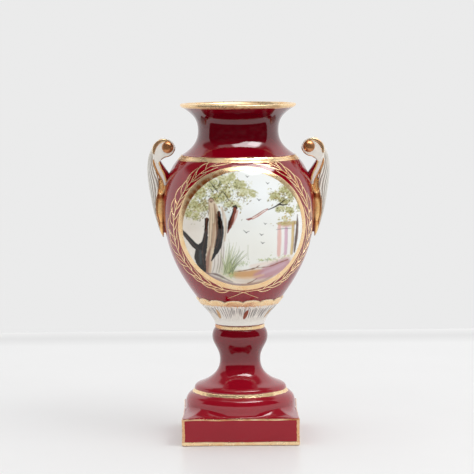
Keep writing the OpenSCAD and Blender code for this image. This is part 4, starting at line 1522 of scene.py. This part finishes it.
# ---------------------------------------------------------------- stage and light
def make_floor():
    """A pale table top with a painted shadow, a faint darker line, just before its far edge."""
    mesh = bpy.data.meshes.new("floor")
    x, y_front, y_back = 0.9, -0.55, 0.345
    grey, shadow_line_grey = (0.845, 0.845, 0.845), (0.75, 0.75, 0.75)
    mesh.from_pydata([(-x, y_front, 0), (x, y_front, 0), (x, y_back, 0), (-x, y_back, 0)], [], [(0, 1, 2, 3)])
    obj = placed_object("floor", mesh)
    nodes = Nodes("floor")
    depth = nodes.axes()[1]
    # Painted shadow: a darker line where the table meets the wall behind.
    edge = nodes.ramp(depth, 0.0, 1.0, y_back - 0.060, y_back - 0.032)
    far = nodes.ramp(depth, 0.0, 1.0, y_back - 0.026, y_back - 0.002)
    pale = nodes.mix(nodes.ramp(nodes.noise(14, 4), 0.0, 1.0), grey, (0.86, 0.86, 0.86))
    nodes.link(nodes.mix(far, nodes.mix(edge, pale, shadow_line_grey), pale), nodes.shader.inputs["Base Color"])
    nodes.shader.inputs["Roughness"].default_value = 0.3
    nodes.shader.inputs["IOR"].default_value = 1.12
    mesh.materials.append(nodes.material)


# How much lower the flag ends on the right, and where its drop begins and how long it takes, in radians
RIGHT_DROP, DROP_FROM, DROP_OVER = 0.085, -0.1, 0.5


def make_flag():
    """A black studio flag curved round the front, lower on the right, seen only in reflections."""
    radius, low, high, wide = 0.165, 0.057, 0.35, math.radians(86)
    count = 48
    verts = []
    for k in range(count + 1):
        a = -wide + 2 * wide * k / count
        top = high - RIGHT_DROP * min(1.0, max(0.0, (a - DROP_FROM) / DROP_OVER))
        verts += [(radius * math.sin(a), -radius * math.cos(a), z) for z in (low, top)]
    faces = [(2 * k, 2 * k + 2, 2 * k + 3, 2 * k + 1) for k in range(count)]
    mesh = bpy.data.meshes.new("flag")
    mesh.from_pydata(verts, [], faces)
    obj = placed_object("flag", mesh)
    material = bpy.data.materials.new("flag_cloth")
    material.use_nodes = True
    tree = material.node_tree
    tree.nodes.clear()
    glow = tree.nodes.new("ShaderNodeEmission")
    cloth = tree.nodes.new("ShaderNodeTexNoise")
    for socket, value in (("Scale", 22), ("Detail", 5), ("Roughness", 0.65)):
        cloth.inputs[socket].default_value = value
    tree.links.new(tree.nodes.new("ShaderNodeTexCoord").outputs["Object"], cloth.inputs["Vector"])
    spread = tree.nodes.new("ShaderNodeMapRange")
    for socket, value in (("From Min", 0.45), ("From Max", 0.75), ("To Min", 0.006), ("To Max", 0.12)):
        spread.inputs[socket].default_value = value
    tree.links.new(cloth.outputs["Fac"], spread.inputs["Value"])
    tree.links.new(spread.outputs["Result"], glow.inputs["Strength"])
    output = tree.nodes.new("ShaderNodeOutputMaterial")
    tree.links.new(glow.outputs[0], output.inputs["Surface"])
    mesh.materials.append(material)
    for ray in ("camera", "diffuse", "transmission", "volume_scatter", "shadow"):
        setattr(obj, "visible_" + ray, False)


# Light seen by camera rays, by other rays, and by glossy rays before the soft box and the dark parts
BACKDROP, FILL, SKY = 0.83, 0.93, 0.97
SOFT_BOX_GLOW, DARK_SHARE = 6.4, 0.9


def make_world():
    """An even white studio, with a soft box and dark parts that only reflections show, in degrees of the sky."""
    world = bpy.data.worlds.new("studio")
    bpy.context.scene.world = world
    world.use_nodes = True
    tree = world.node_tree
    tree.nodes.clear()

    def background(strength):
        made = tree.nodes.new("ShaderNodeBackground")
        made.inputs["Color"].default_value = (1, 1, 1, 1)
        if isinstance(strength, bpy.types.NodeSocket):
            tree.links.new(strength, made.inputs["Strength"])
        else:
            made.inputs["Strength"].default_value = strength
        return made.outputs[0]

    def either(ray, other, chosen):
        """The chosen shader for one kind of ray and the other for the rest."""
        made = tree.nodes.new("ShaderNodeMixShader")
        for k, output in enumerate((path.outputs[ray], other, chosen)):
            tree.links.new(output, made.inputs[k])
        return made.outputs[0]

    def math_node(operation, a, b=None):
        made = tree.nodes.new("ShaderNodeMath")
        made.operation = operation
        for k, value in enumerate((a, b)):
            if value is None:
                continue
            if isinstance(value, bpy.types.NodeSocket):
                tree.links.new(value, made.inputs[k])
            else:
                made.inputs[k].default_value = value
        return made.outputs[0]

    def smooth(value, start, end):
        made = tree.nodes.new("ShaderNodeMapRange")
        made.interpolation_type = "SMOOTHSTEP"
        tree.links.new(value, made.inputs["Value"])
        made.inputs["From Min"].default_value = start
        made.inputs["From Max"].default_value = end
        return made.outputs["Result"]

    def inside(value, low, high, soft):
        return math_node("MULTIPLY", smooth(value, low - soft, low + soft), smooth(value, high + soft, high - soft))

    direction = tree.nodes.new("ShaderNodeTexCoord").outputs["Generated"]
    split = tree.nodes.new("ShaderNodeSeparateXYZ")
    tree.links.new(direction, split.inputs[0])
    x, y, z = split.outputs
    elevation = math_node("MULTIPLY", math_node("ARCSINE", z), 180 / math.pi)
    front = math_node("MULTIPLY", y, -1.0)
    azimuth = math_node("MULTIPLY", math_node("ARCTAN2", x, front), 180 / math.pi)

    back_turn = math_node("ABSOLUTE", azimuth)
    dark_roof = math_node("MULTIPLY", smooth(back_turn, 80, 110), inside(elevation, 48, 74, 5))
    left_gap = math_node("MULTIPLY", inside(azimuth, -125, -80, 6), inside(elevation, 30, 60, 5))
    soft_box = math_node("MULTIPLY", inside(azimuth, -22, 80, 10), inside(elevation, 42, 73, 3))
    darkness = math_node("MAXIMUM", math_node("MAXIMUM", dark_roof, left_gap), smooth(elevation, 78, 84))
    glossy = math_node("MULTIPLY", SKY, math_node("SUBTRACT", 1.0, math_node("MULTIPLY", darkness, DARK_SHARE)))
    glossy = math_node("ADD", glossy, math_node("MULTIPLY", soft_box, SOFT_BOX_GLOW))

    path = tree.nodes.new("ShaderNodeLightPath")
    indirect = either("Is Glossy Ray", background(FILL), background(glossy))
    output = tree.nodes.new("ShaderNodeOutputWorld")
    tree.links.new(either("Is Camera Ray", indirect, background(BACKDROP)), output.inputs[0])


def area_light(name, place, target, size, power):
    """A rectangular light aimed at a target, hidden from the camera."""
    data = bpy.data.lights.new(name, "AREA")
    data.shape = "RECTANGLE"
    data.size, data.size_y = size
    data.energy = power
    light = placed_object(name, data)
    light.location = place
    light.rotation_euler = (Vector(target) - Vector(place)).to_track_quat("-Z", "Y").to_euler()
    light.visible_camera = False


make_floor()
make_flag()
make_world()
area_light("key", (0.55, -0.35, 0.9), (0, 0, 0.08), (0.5, 0.35), 2.0)

bpy.context.scene.view_settings.view_transform = "Standard"
